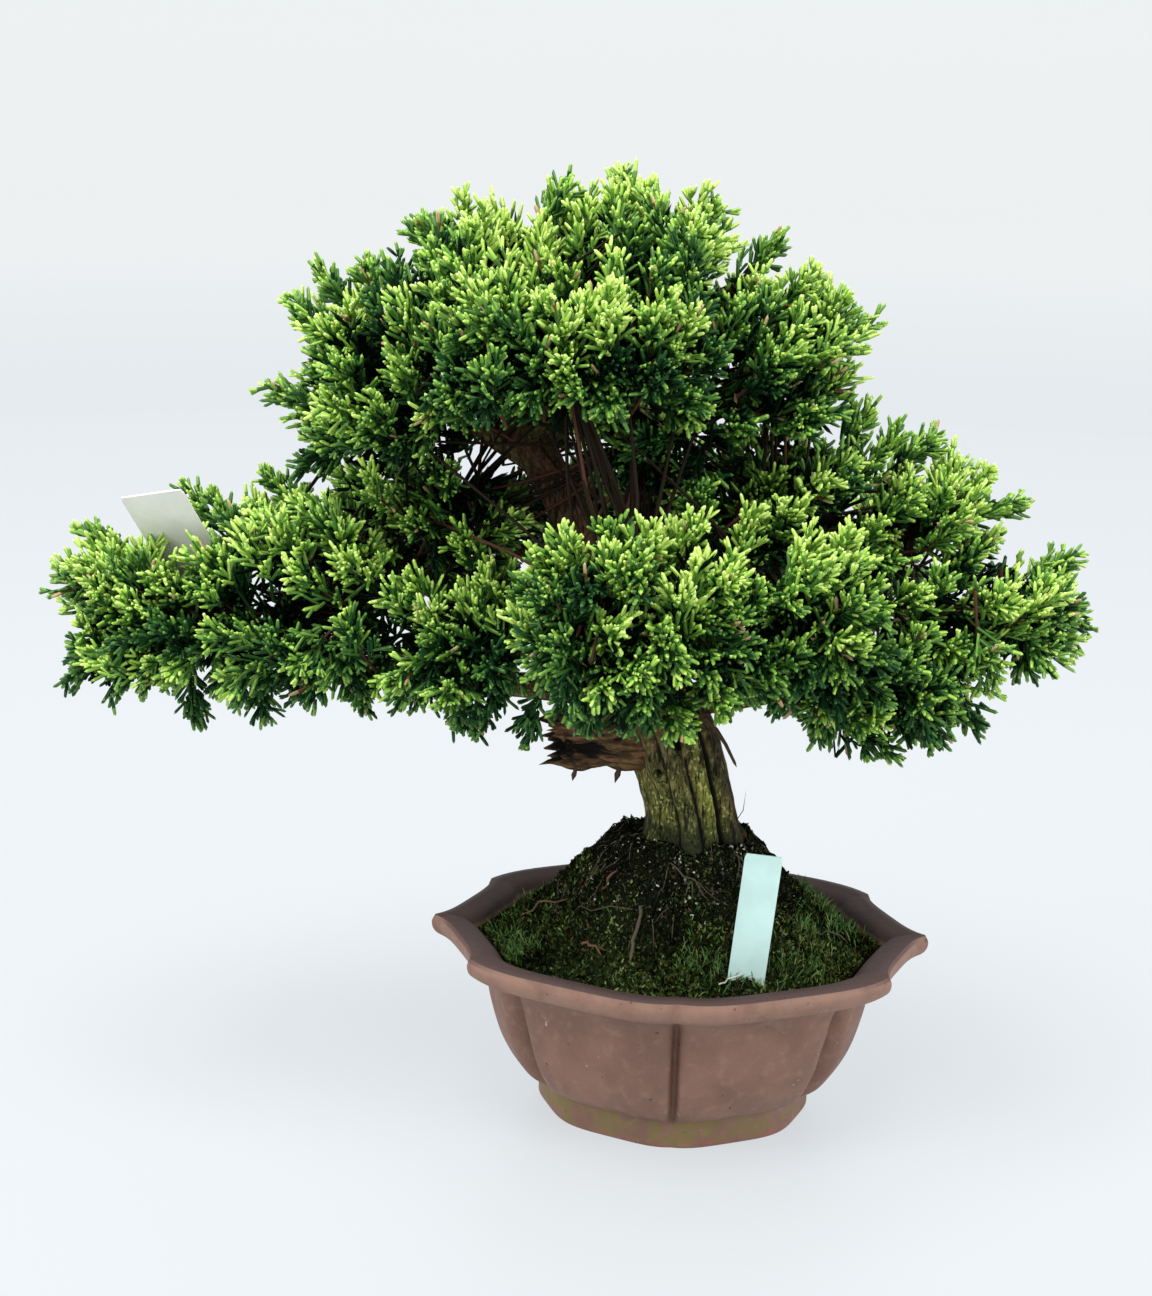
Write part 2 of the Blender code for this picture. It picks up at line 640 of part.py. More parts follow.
def main():
    clear_scene()
    clay = material("stoneware", (0.165, 0.080, 0.062), 0.55)
    moss = material("moss", (0.050, 0.075, 0.018), 0.95)
    bark = material("bark", (0.130, 0.100, 0.045), 0.90)
    deadwood = material("deadwood", (0.170, 0.085, 0.040), 0.85)
    needles = material("foliage", (0.060, 0.160, 0.030), 0.60)
    mint = material("label_plastic", (0.400, 0.780, 0.640), 0.40)
    white = material("tag_plastic", (0.800, 0.800, 0.760), 0.45)

    build_pot(clay)
    build_soil(moss, label_box("label_slot", CLEARANCE))
    build_trunk(bark)
    build_stub(deadwood)
    limbs = {"trunk": trunk_path()}
    for name in BOUGHS:
        build_bough(name, bark)
        limbs[name] = limb_path(*BOUGHS[name])

    spaces = {name: Space(name) for name in MASSES}
    for name, space in spaces.items():
        for other_name, other in spaces.items():
            if other_name != name:
                space.keep_off(other)
    stems = {name: stem_path(space, limbs) for name, space in spaces.items()}
    for name, space in spaces.items():
        build_mass(name, space, needles, limbs, stems)

    label_box("plant_label", look=mint)
    tag_box("price_tag", look=white)


main()
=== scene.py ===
import math
import random

import bpy
import numpy as np
from mathutils import Matrix, Vector, noise


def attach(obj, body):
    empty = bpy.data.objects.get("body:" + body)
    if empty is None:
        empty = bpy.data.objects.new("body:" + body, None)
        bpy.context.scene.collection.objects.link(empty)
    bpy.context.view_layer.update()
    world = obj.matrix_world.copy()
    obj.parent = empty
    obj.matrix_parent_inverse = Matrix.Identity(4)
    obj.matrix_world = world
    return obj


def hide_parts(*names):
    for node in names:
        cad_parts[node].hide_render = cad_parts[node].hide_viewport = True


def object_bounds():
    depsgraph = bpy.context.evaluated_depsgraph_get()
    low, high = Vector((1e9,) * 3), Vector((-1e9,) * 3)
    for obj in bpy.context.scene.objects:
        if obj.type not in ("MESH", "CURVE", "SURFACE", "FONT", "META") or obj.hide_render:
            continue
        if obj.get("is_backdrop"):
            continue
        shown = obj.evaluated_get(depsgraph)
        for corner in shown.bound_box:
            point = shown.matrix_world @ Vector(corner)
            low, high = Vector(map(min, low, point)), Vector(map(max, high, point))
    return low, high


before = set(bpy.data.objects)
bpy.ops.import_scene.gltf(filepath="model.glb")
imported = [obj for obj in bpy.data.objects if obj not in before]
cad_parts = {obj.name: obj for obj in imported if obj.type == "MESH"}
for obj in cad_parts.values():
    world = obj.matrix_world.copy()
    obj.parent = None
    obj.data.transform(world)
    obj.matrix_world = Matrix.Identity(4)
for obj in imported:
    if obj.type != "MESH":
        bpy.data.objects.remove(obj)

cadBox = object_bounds()  # the solids' own box, before anything is added
bpy.context.scene.view_settings.view_transform = "Standard"
goldenAngle = math.pi * (3 - math.sqrt(5))
clearance = 0.0003


class Wire:
    # one output socket; sums on it become Math nodes of its material
    def __init__(self, look, socket):
        self.look, self.socket = look, socket

    def maths(self, operation, *values):
        return self.look.node("Math", {"operation": operation}, dict(enumerate(values)))

    def __add__(self, other):
        return self.maths("ADD", self, other)

    __radd__ = __add__

    def __sub__(self, other):
        return self.maths("SUBTRACT", self, other)

    def __rsub__(self, other):
        return self.maths("SUBTRACT", other, self)

    def __mul__(self, other):
        return self.maths("MULTIPLY", self, other)

    __rmul__ = __mul__

    def clamped(self):
        return self.look.node("Clamp", {}, {"Value": self})

    def between(self, low, high):
        # 0 below low, 1 above high, a soft step between them
        settings = {"interpolation_type": "SMOOTHSTEP"}
        return self.look.node("MapRange", settings, {0: self, 1: low, 2: high})


class Look:
    # one material: its shader's constants are set first, its patterns are joined on after
    def __init__(self, name, **constants):
        self.material = bpy.data.materials.new(name)
        self.material.use_nodes = True
        self.nodes = self.material.node_tree.nodes
        self.links = self.material.node_tree.links
        self.shader = self.nodes["Principled BSDF"]
        for socket, value in constants.items():
            self.shader.inputs[socket.replace("_", " ")].default_value = value

    def node(self, kind, settings, values, output=0):
        made = self.nodes.new("ShaderNode" + kind)
        for name, value in settings.items():
            if name == "stops":
                fillRamp(made.color_ramp, value)
            else:
                setattr(made, name, value)
        for name, value in values.items():
            if isinstance(value, Wire):
                self.links.new(value.socket, made.inputs[name])
            else:
                made.inputs[name].default_value = value
        return Wire(self, made.outputs[output])

    def join(self, wire, name):
        self.links.new(wire.socket, self.shader.inputs[name])

    def place(self):
        return self.node("TexCoord", {}, {}, "Object")

    def height(self):
        return self.node("SeparateXYZ", {}, {0: self.place()}, "Z")

    def attribute(self, name, output="Fac"):
        return self.node("Attribute", {"attribute_name": name}, {}, output)

    def noise(self, scale, detail=4.0, rough=0.55, place=None, stretch=None):
        place = place or self.place()
        if stretch:
            place = self.node("VectorMath", {"operation": "MULTIPLY"}, {0: place, 1: stretch})
        values = {"Vector": place, "Scale": scale, "Detail": detail, "Roughness": rough}
        return self.node("TexNoise", {}, values, "Fac")

    def ramp(self, wire, stops):
        return self.node("ValToRGB", {"stops": stops}, {"Fac": wire}, "Color")

    def mix(self, mask, first, second):
        values = {0: mask, 6: opaque(first), 7: opaque(second)}
        return self.node("Mix", {"data_type": "RGBA"}, values, 2)

    def bump(self, height, depth, strength=1.0):
        values = {"Height": height, "Distance": depth, "Strength": strength}
        self.join(self.node("Bump", {}, values, "Normal"), "Normal")


def opaque(colour):
    return colour if isinstance(colour, Wire) else (*colour, 1.0)


def fillRamp(ramp, stops):
    while len(ramp.elements) < len(stops):
        ramp.elements.new(1.0)
    for element, (position, colour) in zip(ramp.elements, stops):
        element.position, element.color = position, (*colour, 1.0)


def plainLook(name, colour, roughness=0.55, gloss=0.15):
    look = Look(name, Roughness=roughness, Specular_IOR_Level=gloss)
    look.shader.inputs["Base Color"].default_value = opaque(colour)
    return look.material


def meshPiece(name, points, blocks, looks, shades=None, slot=None, smooth=True, marks=None):
    # points (n, 3); blocks: arrays of triangles or quads; shades: one look per face
    mesh = bpy.data.meshes.new(name)
    blocks = [np.asarray(block) for block in blocks if len(block)]
    corners = np.concatenate([block.ravel() for block in blocks]).astype(np.int32)
    sizes = np.concatenate([np.full(len(block), block.shape[1]) for block in blocks])
    starts = np.concatenate(([0], np.cumsum(sizes)[:-1])).astype(np.int32)
    mesh.vertices.add(len(points))
    mesh.vertices.foreach_set("co", np.asarray(points, dtype=np.float32).ravel())
    mesh.loops.add(len(corners))
    mesh.loops.foreach_set("vertex_index", corners)
    mesh.polygons.add(len(sizes))
    mesh.polygons.foreach_set("loop_start", starts)
    for look in looks:
        mesh.materials.append(look)
    if shades is not None:
        mesh.polygons.foreach_set("material_index", np.asarray(shades, dtype=np.int32))
    mesh.polygons.foreach_set("use_smooth", np.full(len(sizes), smooth))
    mesh.update(calc_edges=True)
    for mark, values in (marks or {}).items():
        mesh.attributes.new(mark, "FLOAT", "POINT").data.foreach_set("value", values)
    made = bpy.data.objects.new(name, mesh)
    bpy.context.scene.collection.objects.link(made)
    if slot:
        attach(made, "root")
    return made


def ringQuads(rings, sides, first=0):
    # quads between rings of equally many points, one ring after another
    ring = np.arange(rings - 1)[:, None] * sides
    side = np.arange(sides)[None, :]
    after = (side + 1) % sides
    low, high = ring + side, ring + sides + side
    quads = np.stack([low, ring + after, ring + sides + after, high], axis=-1)
    return quads.reshape(-1, 4) + first


def fanTriangles(ring, centre):
    # triangles from a closed ring of point numbers to one centre point
    return np.stack([ring, np.roll(ring, -1), np.full(len(ring), centre)], axis=-1)


def curveThrough(rows, samples):
    # Catmull-Rom curve through rows of equally many numbers
    rows = np.asarray(rows, dtype=float)
    padded = np.vstack([2 * rows[0] - rows[1], rows, 2 * rows[-1] - rows[-2]])
    found = []
    for step in range(samples + 1):
        place = step / samples * (len(rows) - 1)
        i = min(int(place), len(rows) - 2)
        t = place - i
        a, b, c, d = padded[i : i + 4]
        bend = 2 * b + (c - a) * t + (2 * a - 5 * b + 4 * c - d) * t**2
        found.append((bend + (3 * b - a - 3 * c + d) * t**3) / 2)
    return np.array(found)


def tubeRows(path, sides, shape=None, upright=False):
    # rings of points along a path of x, y, z, radius; shape reworks each reach
    across = Vector((0, -1, 0))
    rows = []
    last = len(path) - 1
    for i, row in enumerate(path):
        ahead = Vector(path[min(i + 1, last)][:3]) - Vector(path[max(i - 1, 0)][:3])
        ahead = Vector((0, 0, 1)) if i == 0 and upright else ahead.normalized()
        across = (across - ahead * across.dot(ahead)).normalized()
        aside = ahead.cross(across)
        centre, radius = Vector(row[:3]), row[3]
        ring = []
        for side in range(sides):
            angle = 2 * math.pi * side / sides
            reach = shape(i / last, angle, radius) if shape else radius
            ring.append(centre + (across * math.cos(angle) + aside * math.sin(angle)) * reach)
        rows.append(ring)
    return np.array(rows)


def bell(value, width):
    return math.exp(-((value / width) ** 2))


pot = {  # turned from rings of points, from the foot up and down again inside
    "halfWidth": 0.118,
    "halfDepth": 0.085,
    "cornerX": 0.81,
    "cornerY": 0.56,
    "flatness": 4,  # how flat each panel stays between its corners
    "drainRadius": 0.008,
    "drainOffset": 0.030,
    "floorHeight": 0.010,
    # height, share of the rim, long swell, short swell, groove
    "outside": [
        (0.000, 0.545, 0.004, 0.001, 0.000), (0.002, 0.553, 0.004, 0.001, 0.000),
        (0.011, 0.550, 0.004, 0.001, 0.000), (0.0135, 0.552, 0.004, 0.001, 0.001),
        (0.0155, 0.578, 0.005, 0.002, 0.003), (0.022, 0.640, 0.007, 0.004, 0.004),
        (0.036, 0.700, 0.008, 0.005, 0.005), (0.054, 0.745, 0.008, 0.005, 0.005),
        (0.070, 0.785, 0.008, 0.003, 0.004), (0.077, 0.850, 0.008, 0.000, 0.001),
        (0.080, 0.945, 0.008, -0.002, 0.000), (0.083, 0.988, 0.008, -0.004, 0.000),
        (0.0875, 1.000, 0.008, -0.004, 0.000), (0.0915, 0.985, 0.008, -0.004, 0.000),
    ],
    "inside": [
        (0.092, 0.945, 0.008, -0.003, 0.000), (0.0895, 0.865, 0.007, -0.002, 0.000),
        (0.084, 0.820, 0.007, -0.001, 0.000), (0.070, 0.735, 0.007, 0.001, 0.003),
        (0.054, 0.690, 0.007, 0.002, 0.004), (0.030, 0.620, 0.006, 0.001, 0.004),
        (0.010, 0.480, 0.003, 0.001, 0.000),
    ],
    # the grooves' widths, as shares of a panel
    "narrowGroove": 0.020,  # at the middle of the front and of the back
    "wideGroove": 0.055,  # at the two ends
    "foldGroove": (0.030, 0.115),  # at the other corners, on the long and on the short panels
    "foldDepth": 1.7,
    "ridge": 0.0009,  # the rounded welt on each side of the narrow grooves
    "clay": (0.208, 0.110, 0.080),
    "clayDark": (0.158, 0.082, 0.060),
    # lighter worn clay, also painted on the rim's outer band as a highlight
    "clayWornAndHighlight": (0.262, 0.152, 0.110),
    "rimTop": (0.050, 0.030, 0.028),
    "speck": (0.46, 0.37, 0.29),
    "algae": (0.150, 0.122, 0.030),
    "pit": (0.030, 0.016, 0.012),
    "hem": (0.300, 0.085, 0.065),
}
wallShares = [0, 0.012, 0.026, 0.042, 0.060, 0.080, 0.105, 0.14, 0.19, 0.25, 0.32, 0.41]
panelShares = wallShares + [0.5] + [1 - share for share in reversed(wallShares[1:])]


def potRing(row, inset=0.0, shares=panelShares):
    height, share, longSwell, shortSwell, groove = row
    x, y = pot["cornerX"], pot["cornerY"]
    outline = [(1, 0), (x, y), (0, 1), (-x, y), (-1, 0), (-x, -y), (0, -1), (x, -y)]
    corners = [Vector((a * pot["halfWidth"], b * pot["halfDepth"])) * share for a, b in outline]
    ring = []
    for i, start in enumerate(corners):
        end = corners[(i + 1) % 8]
        along = end - start
        out = Vector((along.y, -along.x)).normalized()
        swell = longSwell if i % 4 in (1, 2) else shortSwell
        for part in shares:
            bulge = 1 - abs(2 * part - 1) ** pot["flatness"]
            point = start + along * part + out * swell * bulge
            corner = i if part < 0.5 else (i + 1) % 8
            away = min(part, 1 - part)
            narrow = corner in (2, 6)
            width = pot["narrowGroove"] if narrow else pot["wideGroove"]
            if corner % 2:
                width = pot["foldGroove"][0 if i % 4 in (1, 2) else 1]
            depth = groove * bell(away, width) * (pot["foldDepth"] if corner % 2 else 1)
            if narrow:
                welt = pot["ridge"] * min(1, groove / 0.003)
                depth -= welt * bell(away - 2.4 * width, width)
            point -= point.normalized() * (depth + inset)
            ring.append((point.x, point.y, height))
    return ring


def closedRows(name, rows, looks, slot=None, marks=None):
    # a closed body through rings of points, its two ends filled with fans
    rings, sides = len(rows), len(rows[0])
    middles = np.mean(rows[0], axis=0), np.mean(rows[-1], axis=0)
    points = np.vstack([np.reshape(rows, (-1, 3)), *middles])
    low = fanTriangles(np.arange(sides)[::-1], rings * sides)
    high = fanTriangles(np.arange(sides) + (rings - 1) * sides, rings * sides + 1)
    marks = {mark: [*given, given[0], given[-1]] for mark, given in (marks or {}).items()}
    blocks = [ringQuads(rings, sides), low, high]
    return meshPiece(name, points, blocks, looks, slot=slot, marks=marks)


def cut(made, cutter):
    # a boolean whose result is kept in the mesh
    change = made.modifiers.new("cut", "BOOLEAN")
    change.operation, change.object, change.solver = "DIFFERENCE", cutter, "EXACT"
    bpy.context.view_layer.update()
    shape = made.evaluated_get(bpy.context.evaluated_depsgraph_get())
    mesh = bpy.data.meshes.new_from_object(shape)
    made.modifiers.clear()
    made.data = mesh
    bpy.data.objects.remove(cutter)
    return made


def stoneware():
    look = Look("stoneware", Roughness=0.62, Specular_IOR_Level=0.35)
    height = look.height()
    x = look.node("SeparateXYZ", {}, {0: look.place()}, "X")
    clouds = look.noise(38, 5, 0.6)
    grain = look.noise(900, 3, 0.6)
    colour = look.mix(clouds.between(0.35, 0.68), pot["clayDark"], pot["clay"])
    colour = look.mix(look.noise(160, 4).between(0.50, 0.72) * 0.45, colour, pot["clayWornAndHighlight"])
    specks = look.noise(620, 2, 0.5).between(0.735, 0.775)
    specks = specks + look.noise(210, 1, 0.4).between(0.775, 0.80)
    specks = (specks * look.noise(30).between(0.38, 0.6)).clamped()
    colour = look.mix(specks * 0.75, colour, pot["speck"])
    pits = look.noise(330, 1, 0.3).between(0.76, 0.80)
    colour = look.mix(pits * 0.7, colour, pot["pit"])
    up = look.node("SeparateXYZ", {}, {0: look.node("NewGeometry", {}, {}, "Normal")}, "Z")
    # painted highlight with wear: the rim's outer, sideways-facing band is made lighter clay
    rimWearAndHighlight = height.between(0.0785, 0.0825) * (1 - up.between(0.35, 0.75))
    colour = look.mix(rimWearAndHighlight * look.noise(70).between(0.30, 0.62) * 0.75, colour, pot["clayWornAndHighlight"])
    top = height.between(0.0850, 0.0872) * up.between(0.35, 0.50)
    colour = look.mix(top * (0.80 + 0.2 * clouds), colour, pot["rimTop"])
    foot = 1 - height.between(0.0120, 0.0165)
    green = foot * look.noise(85, 5, 0.65).between(0.40, 0.62) * (1 - x.between(-0.01, 0.09) * 0.55)
    colour = look.mix(green * height.between(-0.002, 0.004) * 0.85, colour, pot["algae"])
    hem = (1 - height.between(0.0, 0.006)) * look.noise(120).between(0.40, 0.65)
    colour = look.mix(hem * 0.5, colour, pot["hem"])
    look.join(colour, "Base Color")
    look.join(0.50 + 0.22 * grain + 0.10 * top, "Roughness")
    look.bump(grain * 0.45 + look.noise(240, 4) * 0.8 + clouds * 0.7 - pits * 0.8, 0.00045)
    return look.material


outsideRows = curveThrough(pot["outside"], 78)
insideRows = curveThrough(pot["inside"], 36)
potRows = [potRing(row) for row in np.vstack([outsideRows, insideRows])]
potBody = closedRows("pot_body", potRows, [stoneware()], "stoneware")
for side in (-1, 1):
    drain = [(side * pot["drainOffset"], 0, height, pot["drainRadius"]) for height in (-0.005, 0.02)]
    cut(potBody, closedRows("drain", tubeRows(drain, 32), []))
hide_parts("pot")
print("pot turned and drained")


soil = {  # the mound that fills the pot, with its moss, roots and fallen bits
    "edgeHeight": 0.085,
    "groundHeight": 0.138,  # where the trunk comes out
    "plateau": 0.36,
    "edge": 0.98,
    "fall": 1.4,
    "lumpHeight": 0.0036,  # of the mossy humps, from hollow to crown
    "lumpSpacing": 0.029,
    "lumpFade": 0.12,
    "roughness": 0.0040,
    "mossBlades": 31000,
    "bladeLength": (0.0009, 0.0022),
    "bladeWidth": 0.0011,
    "grassLength": (0.0035, 0.0080),
    "grassWidth": 0.00045,
    "grassBlades": 1500,
    "strands": 900,
    "strandRadius": 0.00032,
    "chips": 900,
    "chipSize": (0.0005, 0.0020),
    "earth": (0.002, 0.003, 0.001),
    "earthPale": (0.016, 0.019, 0.008),
    "flake": (0.120, 0.120, 0.075),
    "olive": (0.040, 0.052, 0.010),
    "mossDark": (0.004, 0.008, 0.002),
    "mossGreen": (0.024, 0.040, 0.008),
}


def moundHeight(x, y, share):
    # a dome that falls off from the plateau under the trunk, with low humps on it
    outward = min(1, max(0, (share - soil["plateau"]) / (1 - soil["plateau"])))
    dome = (soil["groundHeight"] - clearance - soil["edgeHeight"]) * (1 - outward) ** soil["fall"]
    fade = min(max(share - soil["plateau"], 0), max(soil["edge"] - share, 0), soil["lumpFade"])
    turn = math.tau / soil["lumpSpacing"]
    lump = soil["lumpHeight"] / 2 * math.sin(turn * x + 0.5) * math.cos(turn * y)
    return soil["edgeHeight"] + dome + lump * fade / soil["lumpFade"]


def earthAndMoss():
    look = Look("earth_and_moss", Roughness=0.95, Specular_IOR_Level=0.05)
    height = look.height()
    crumbs = look.noise(700, 4, 0.7)
    colour = look.mix(crumbs.between(0.35, 0.75), soil["earth"], soil["earthPale"])
    moss = (height * -34 + 4.15 + look.noise(75, 4) * 1.6 - 0.8).clamped()
    green = look.mix(look.noise(480, 3, 0.65).between(0.40, 0.66), soil["mossDark"], soil["mossGreen"])
    colour = look.mix(moss * 0.85, colour, green)
    flakes = look.noise(820, 2, 0.5, stretch=(1, 1, 0.6))
    colour = look.mix(flakes.between(0.60, 0.66) * 0.8, colour, soil["flake"])
    colour = look.mix(flakes.between(0.40, 0.33) * 0.8, colour, soil["olive"])
    look.join(colour, "Base Color")
    look.bump(crumbs * 1.4 + look.noise(260, 3) * 1.0, 0.0018)
    return look.material


def wobble(x, y, z, scale):
    return noise.noise(Vector((x, y, z)) * scale)


soilEdge = np.array(potRing(pot["inside"][2], 2 * clearance))
soilEdge[:, 2] = soil["edgeHeight"]
moundShares = np.concatenate([np.linspace(0.02, 0.30, 14), np.linspace(0.32, 0.99, 74)])


def groundAt(x, y, share):
    rough = soil["roughness"] * (0.45 + 0.95 * (1 - share))
    lift = wobble(x, y, 0, 75) * 0.8 + wobble(x, y, 3, 210) * 0.7 + wobble(x, y, 5, 520) * 0.45
    fade = min(1, (1 - share) / 0.06) * min(1, share / 0.22)  # stays whole under the trunk
    return moundHeight(x, y, share) + rough * lift * fade - 0.0006


def moundPoint(place, share):
    # place runs once round the edge; share runs from the middle out
    spot = place % 1 * len(soilEdge)
    i = int(spot)
    x, y, _ = soilEdge[i] + (soilEdge[(i + 1) % len(soilEdge)] - soilEdge[i]) * (spot - i)
    return Vector((x * share, y * share, groundAt(x * share, y * share, share)))


soilRows = []
for share in moundShares:
    inner = soilEdge[:, :2] * share
    soilRows.append([(x, y, groundAt(x, y, share)) for x, y in inner.tolist()])
soilRows.append(soilEdge.tolist())
for row in pot["inside"][3:]:
    soilRows.append(potRing((max(row[0], pot["floorHeight"] + clearance), *row[1:]), 2 * clearance))
rootBall = closedRows("root_ball", soilRows, [earthAndMoss()], "moss")
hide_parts("soil")


class Tufts:
    # gathers thin tubes and blades, to be joined into one mesh
    def __init__(self):
        self.points, self.quads, self.triangles, self.quadShades, self.shades = [], [], [], [], []

    def blade(self, foot, tip, width, across, shade, bend=None):
        number = len(self.points)
        half = across * width / 2
        middle = foot.lerp(tip, 0.55) + (bend or Vector())
        self.points += [foot - half * 0.7, foot + half * 0.7, middle + half, middle - half, tip]
        self.quads.append((number, number + 1, number + 2, number + 3))
        self.quadShades.append(shade)
        self.triangles.append((number + 3, number + 2, number + 4))
        self.shades.append(shade)

    def strand(self, path, sides, shade):
        # path: points with a radius each; the last ends in a point
        number = len(self.points)
        across = Vector((0.3, -0.8, 0.5))
        for i, (centre, radius) in enumerate(path[:-1]):
            ahead = (path[i + 1][0] - path[max(i - 1, 0)][0]).normalized()
            across = (across - ahead * across.dot(ahead)).normalized()
            aside = ahead.cross(across)
            for side in range(sides):
                angle = 2 * math.pi * side / sides
                turned = across * math.cos(angle) + aside * math.sin(angle)
                self.points.append(centre + turned * radius)
        self.points.append(path[-1][0])
        for i in range(len(path) - 2):
            for side in range(sides):
                after = (side + 1) % sides
                low, high = number + i * sides, number + (i + 1) * sides
                self.quads.append((low + side, low + after, high + after, high + side))
                self.quadShades.append(shade)
        last = number + (len(path) - 2) * sides
        for side in range(sides):
            after = (side + 1) % sides
            self.triangles.append((last + side, last + after, len(self.points) - 1))
            self.shades.append(shade)

    def piece(self, name, looks, slot):
        points = [tuple(point) for point in self.points]
        shades = self.quadShades + self.shades
        return meshPiece(name, points, [self.quads, self.triangles], looks, shades, slot)


mossLooks = [
    plainLook("moss_black", (0.0020, 0.0035, 0.0010), 0.9, 0.05),
    plainLook("moss_deep", (0.0080, 0.0160, 0.0030), 0.9, 0.05),
    plainLook("moss_olive", (0.040, 0.044, 0.010), 0.85, 0.1),
    plainLook("moss_leaf", (0.050, 0.090, 0.014), 0.8, 0.2),
    plainLook("moss_bright", (0.170, 0.230, 0.060), 0.7, 0.3),
    plainLook("moss_rust", (0.090, 0.044, 0.018), 0.85, 0.1),
    plainLook("root_dark", (0.006, 0.005, 0.003), 0.9, 0.1),
    plainLook("root_pale", (0.085, 0.070, 0.045), 0.8, 0.2),
    plainLook("chip_white", (0.620, 0.600, 0.520), 0.6, 0.3),
    plainLook("litter_orange", (0.120, 0.062, 0.036), 0.75, 0.2),
    plainLook("grass_blade", (0.050, 0.150, 0.035), 0.6, 0.3),
]


def growMoss():
    chance = random.Random(11)
    tufts = Tufts()
    while len(tufts.shades) < soil["mossBlades"]:
        share = math.sqrt(chance.uniform(0.055, 0.985))
        foot = moundPoint(chance.random(), share)
        patch = wobble(foot.x, foot.y, 9, 55) + 0.5 * wobble(foot.x, foot.y, 2, 170)
        thick = min(1, max(0.0, (share - 0.40) / 0.30 + patch * 0.9))
        if chance.random() > 0.85 + 0.15 * thick:
            continue
        long = chance.uniform(*soil["bladeLength"]) * (0.75 + 0.5 * thick)
        lean = Vector((chance.gauss(0, 0.8), chance.gauss(0, 0.8), 1)).normalized()
        glow = thick * 0.42 + patch * 0.9 + chance.gauss(0, 0.42)
        glow += 0.16 if foot.x > 0.03 else 0
        dark = chance.choice((1, 1, 2)) if 0.08 < glow <= 0.70 else 0
        shade = 4 if glow > 1.10 else 3 if glow > 0.70 else dark
        if chance.random() < 0.03:
            shade = 5
        across = lean.cross(Vector((chance.gauss(0, 1), chance.gauss(0, 1), 0.2))).normalized()
        tufts.blade(foot - lean * 0.0006, foot + lean * long, soil["bladeWidth"], across, shade)
    return tufts.piece("moss_blades", mossLooks, "moss")


def growGrass():
    # the longer, hair-like moss near the front edge and at the right
    chance = random.Random(12)
    tufts = Tufts()
    hearts = [(0.79, 0.80), (0.82, 0.86), (0.92, 0.74), (0.96, 0.80), (0.99, 0.72), (0.03, 0.82)]
    hearts += [(0.56, 0.90), (0.60, 0.93), (0.10, 0.80), (0.20, 0.86), (0.30, 0.84), (0.42, 0.88)]
    for _ in range(soil["grassBlades"]):
        place, share = chance.choice(hearts)
        foot = moundPoint(place + chance.gauss(0, 0.022), min(0.975, share + chance.gauss(0, 0.05)))
        lean = Vector((chance.gauss(0, 0.55), chance.gauss(0, 0.55), 1)).normalized()
        across = lean.cross(Vector((chance.gauss(0, 1), chance.gauss(0, 1), 0))).normalized()
        tip = foot + lean * chance.uniform(*soil["grassLength"])
        bend = Vector((0, 0, 0.0008))
        shade = chance.choice((10, 10, 3, 4))
        tufts.blade(foot, tip, soil["grassWidth"], across, shade, bend)
    return tufts.piece("moss_hairs", mossLooks, "moss")


def layRoots():
    # fine roots matted over the mound, pale flakes among them, and fallen twigs
    chance = random.Random(13)
    tufts = Tufts()
    for _ in range(soil["strands"]):
        place, share = chance.random(), chance.uniform(0.17, 0.66)
        drift = chance.gauss(0, 0.02)
        length = chance.uniform(0.05, 0.14)
        path = []
        for step in range(6):
            t = step / 5
            spot = moundPoint(place + drift * t, min(0.96, share + length * t))
            lift = 0.0006 + 0.0012 * math.sin(math.pi * t) * chance.random()
            path.append((spot + Vector((0, 0, lift)), soil["strandRadius"] * (1.15 - t)))
        tufts.strand(path, 4, chance.choice((6, 6, 6, 0, 1, 7)))
    for _ in range(soil["chips"]):
        spot = moundPoint(chance.gauss(0.77, 0.10), chance.uniform(0.16, 0.62))
        spot += Vector((0, 0, 0.0006))
        way = Vector([chance.gauss(0, 1) for _ in range(3)]).normalized()
        across = way.cross(Vector((chance.gauss(0, 1), 1, 0.3))).normalized()
        size = chance.uniform(*soil["chipSize"])
        half, shade = way * size / 2, chance.choice((7, 7, 8))
        tufts.blade(spot - half, spot + half, size * 0.7, across, shade)
    for x, y, run, rise, radius, shade in litter:
        foot = Vector((x, y, 0))
        path = []
        for step in range(7):
            t = step / 6
            spot = foot + Vector((run[0], run[1], 0)) * t
            share = shareAt(spot.x, spot.y)
            spot.z = groundAt(spot.x, spot.y, share) + 0.0016 + rise * math.sin(math.pi * t)
            sway = Vector((wobble(t * 3, x, y, 1), wobble(t * 3, y, x, 1), 0))
            spot += sway * 0.002
            path.append((spot, radius * (1.1 - 0.4 * t)))
        tufts.strand(path, 6, shade)
    return tufts.piece("roots_and_litter", mossLooks, "moss")


def shareAt(x, y):
    # how far out a spot lies, as a share of the way to the pot's wall
    angle = math.atan2(y, x)
    edges = np.arctan2(soilEdge[:, 1], soilEdge[:, 0])
    nearest = int(np.argmin(np.abs(np.angle(np.exp(1j * (edges - angle))))))
    return min(0.98, math.hypot(x, y) / math.hypot(*soilEdge[nearest, :2]))


litter = [  # x, y, run, rise, radius, shade
    (-0.074, -0.006, (0.024, -0.012), 0.0015, 0.0005, 9),
    (-0.044, -0.043, (0.010, -0.006), 0.0010, 0.0007, 9),
    (-0.018, -0.036, (-0.004, -0.020), 0.0020, 0.0009, 7),
    (-0.010, -0.028, (0.024, -0.008), 0.0010, 0.0004, 7),
    (0.018, -0.060, (0.011, 0.005), 0.0020, 0.0004, 8),
    (-0.036, -0.026, (0.007, 0.003), 0.0010, 0.0006, 9),
    (0.062, -0.020, (0.018, 0.006), 0.0030, 0.0004, 7),
    (0.030, 0.045, (-0.022, 0.010), 0.0010, 0.0006, 9),
    (-0.050, 0.036, (0.018, 0.012), 0.0010, 0.0006, 7),
]
for made in (growMoss(), growGrass(), layRoots()):
    print("grown", made.name, len(made.data.polygons), "faces")


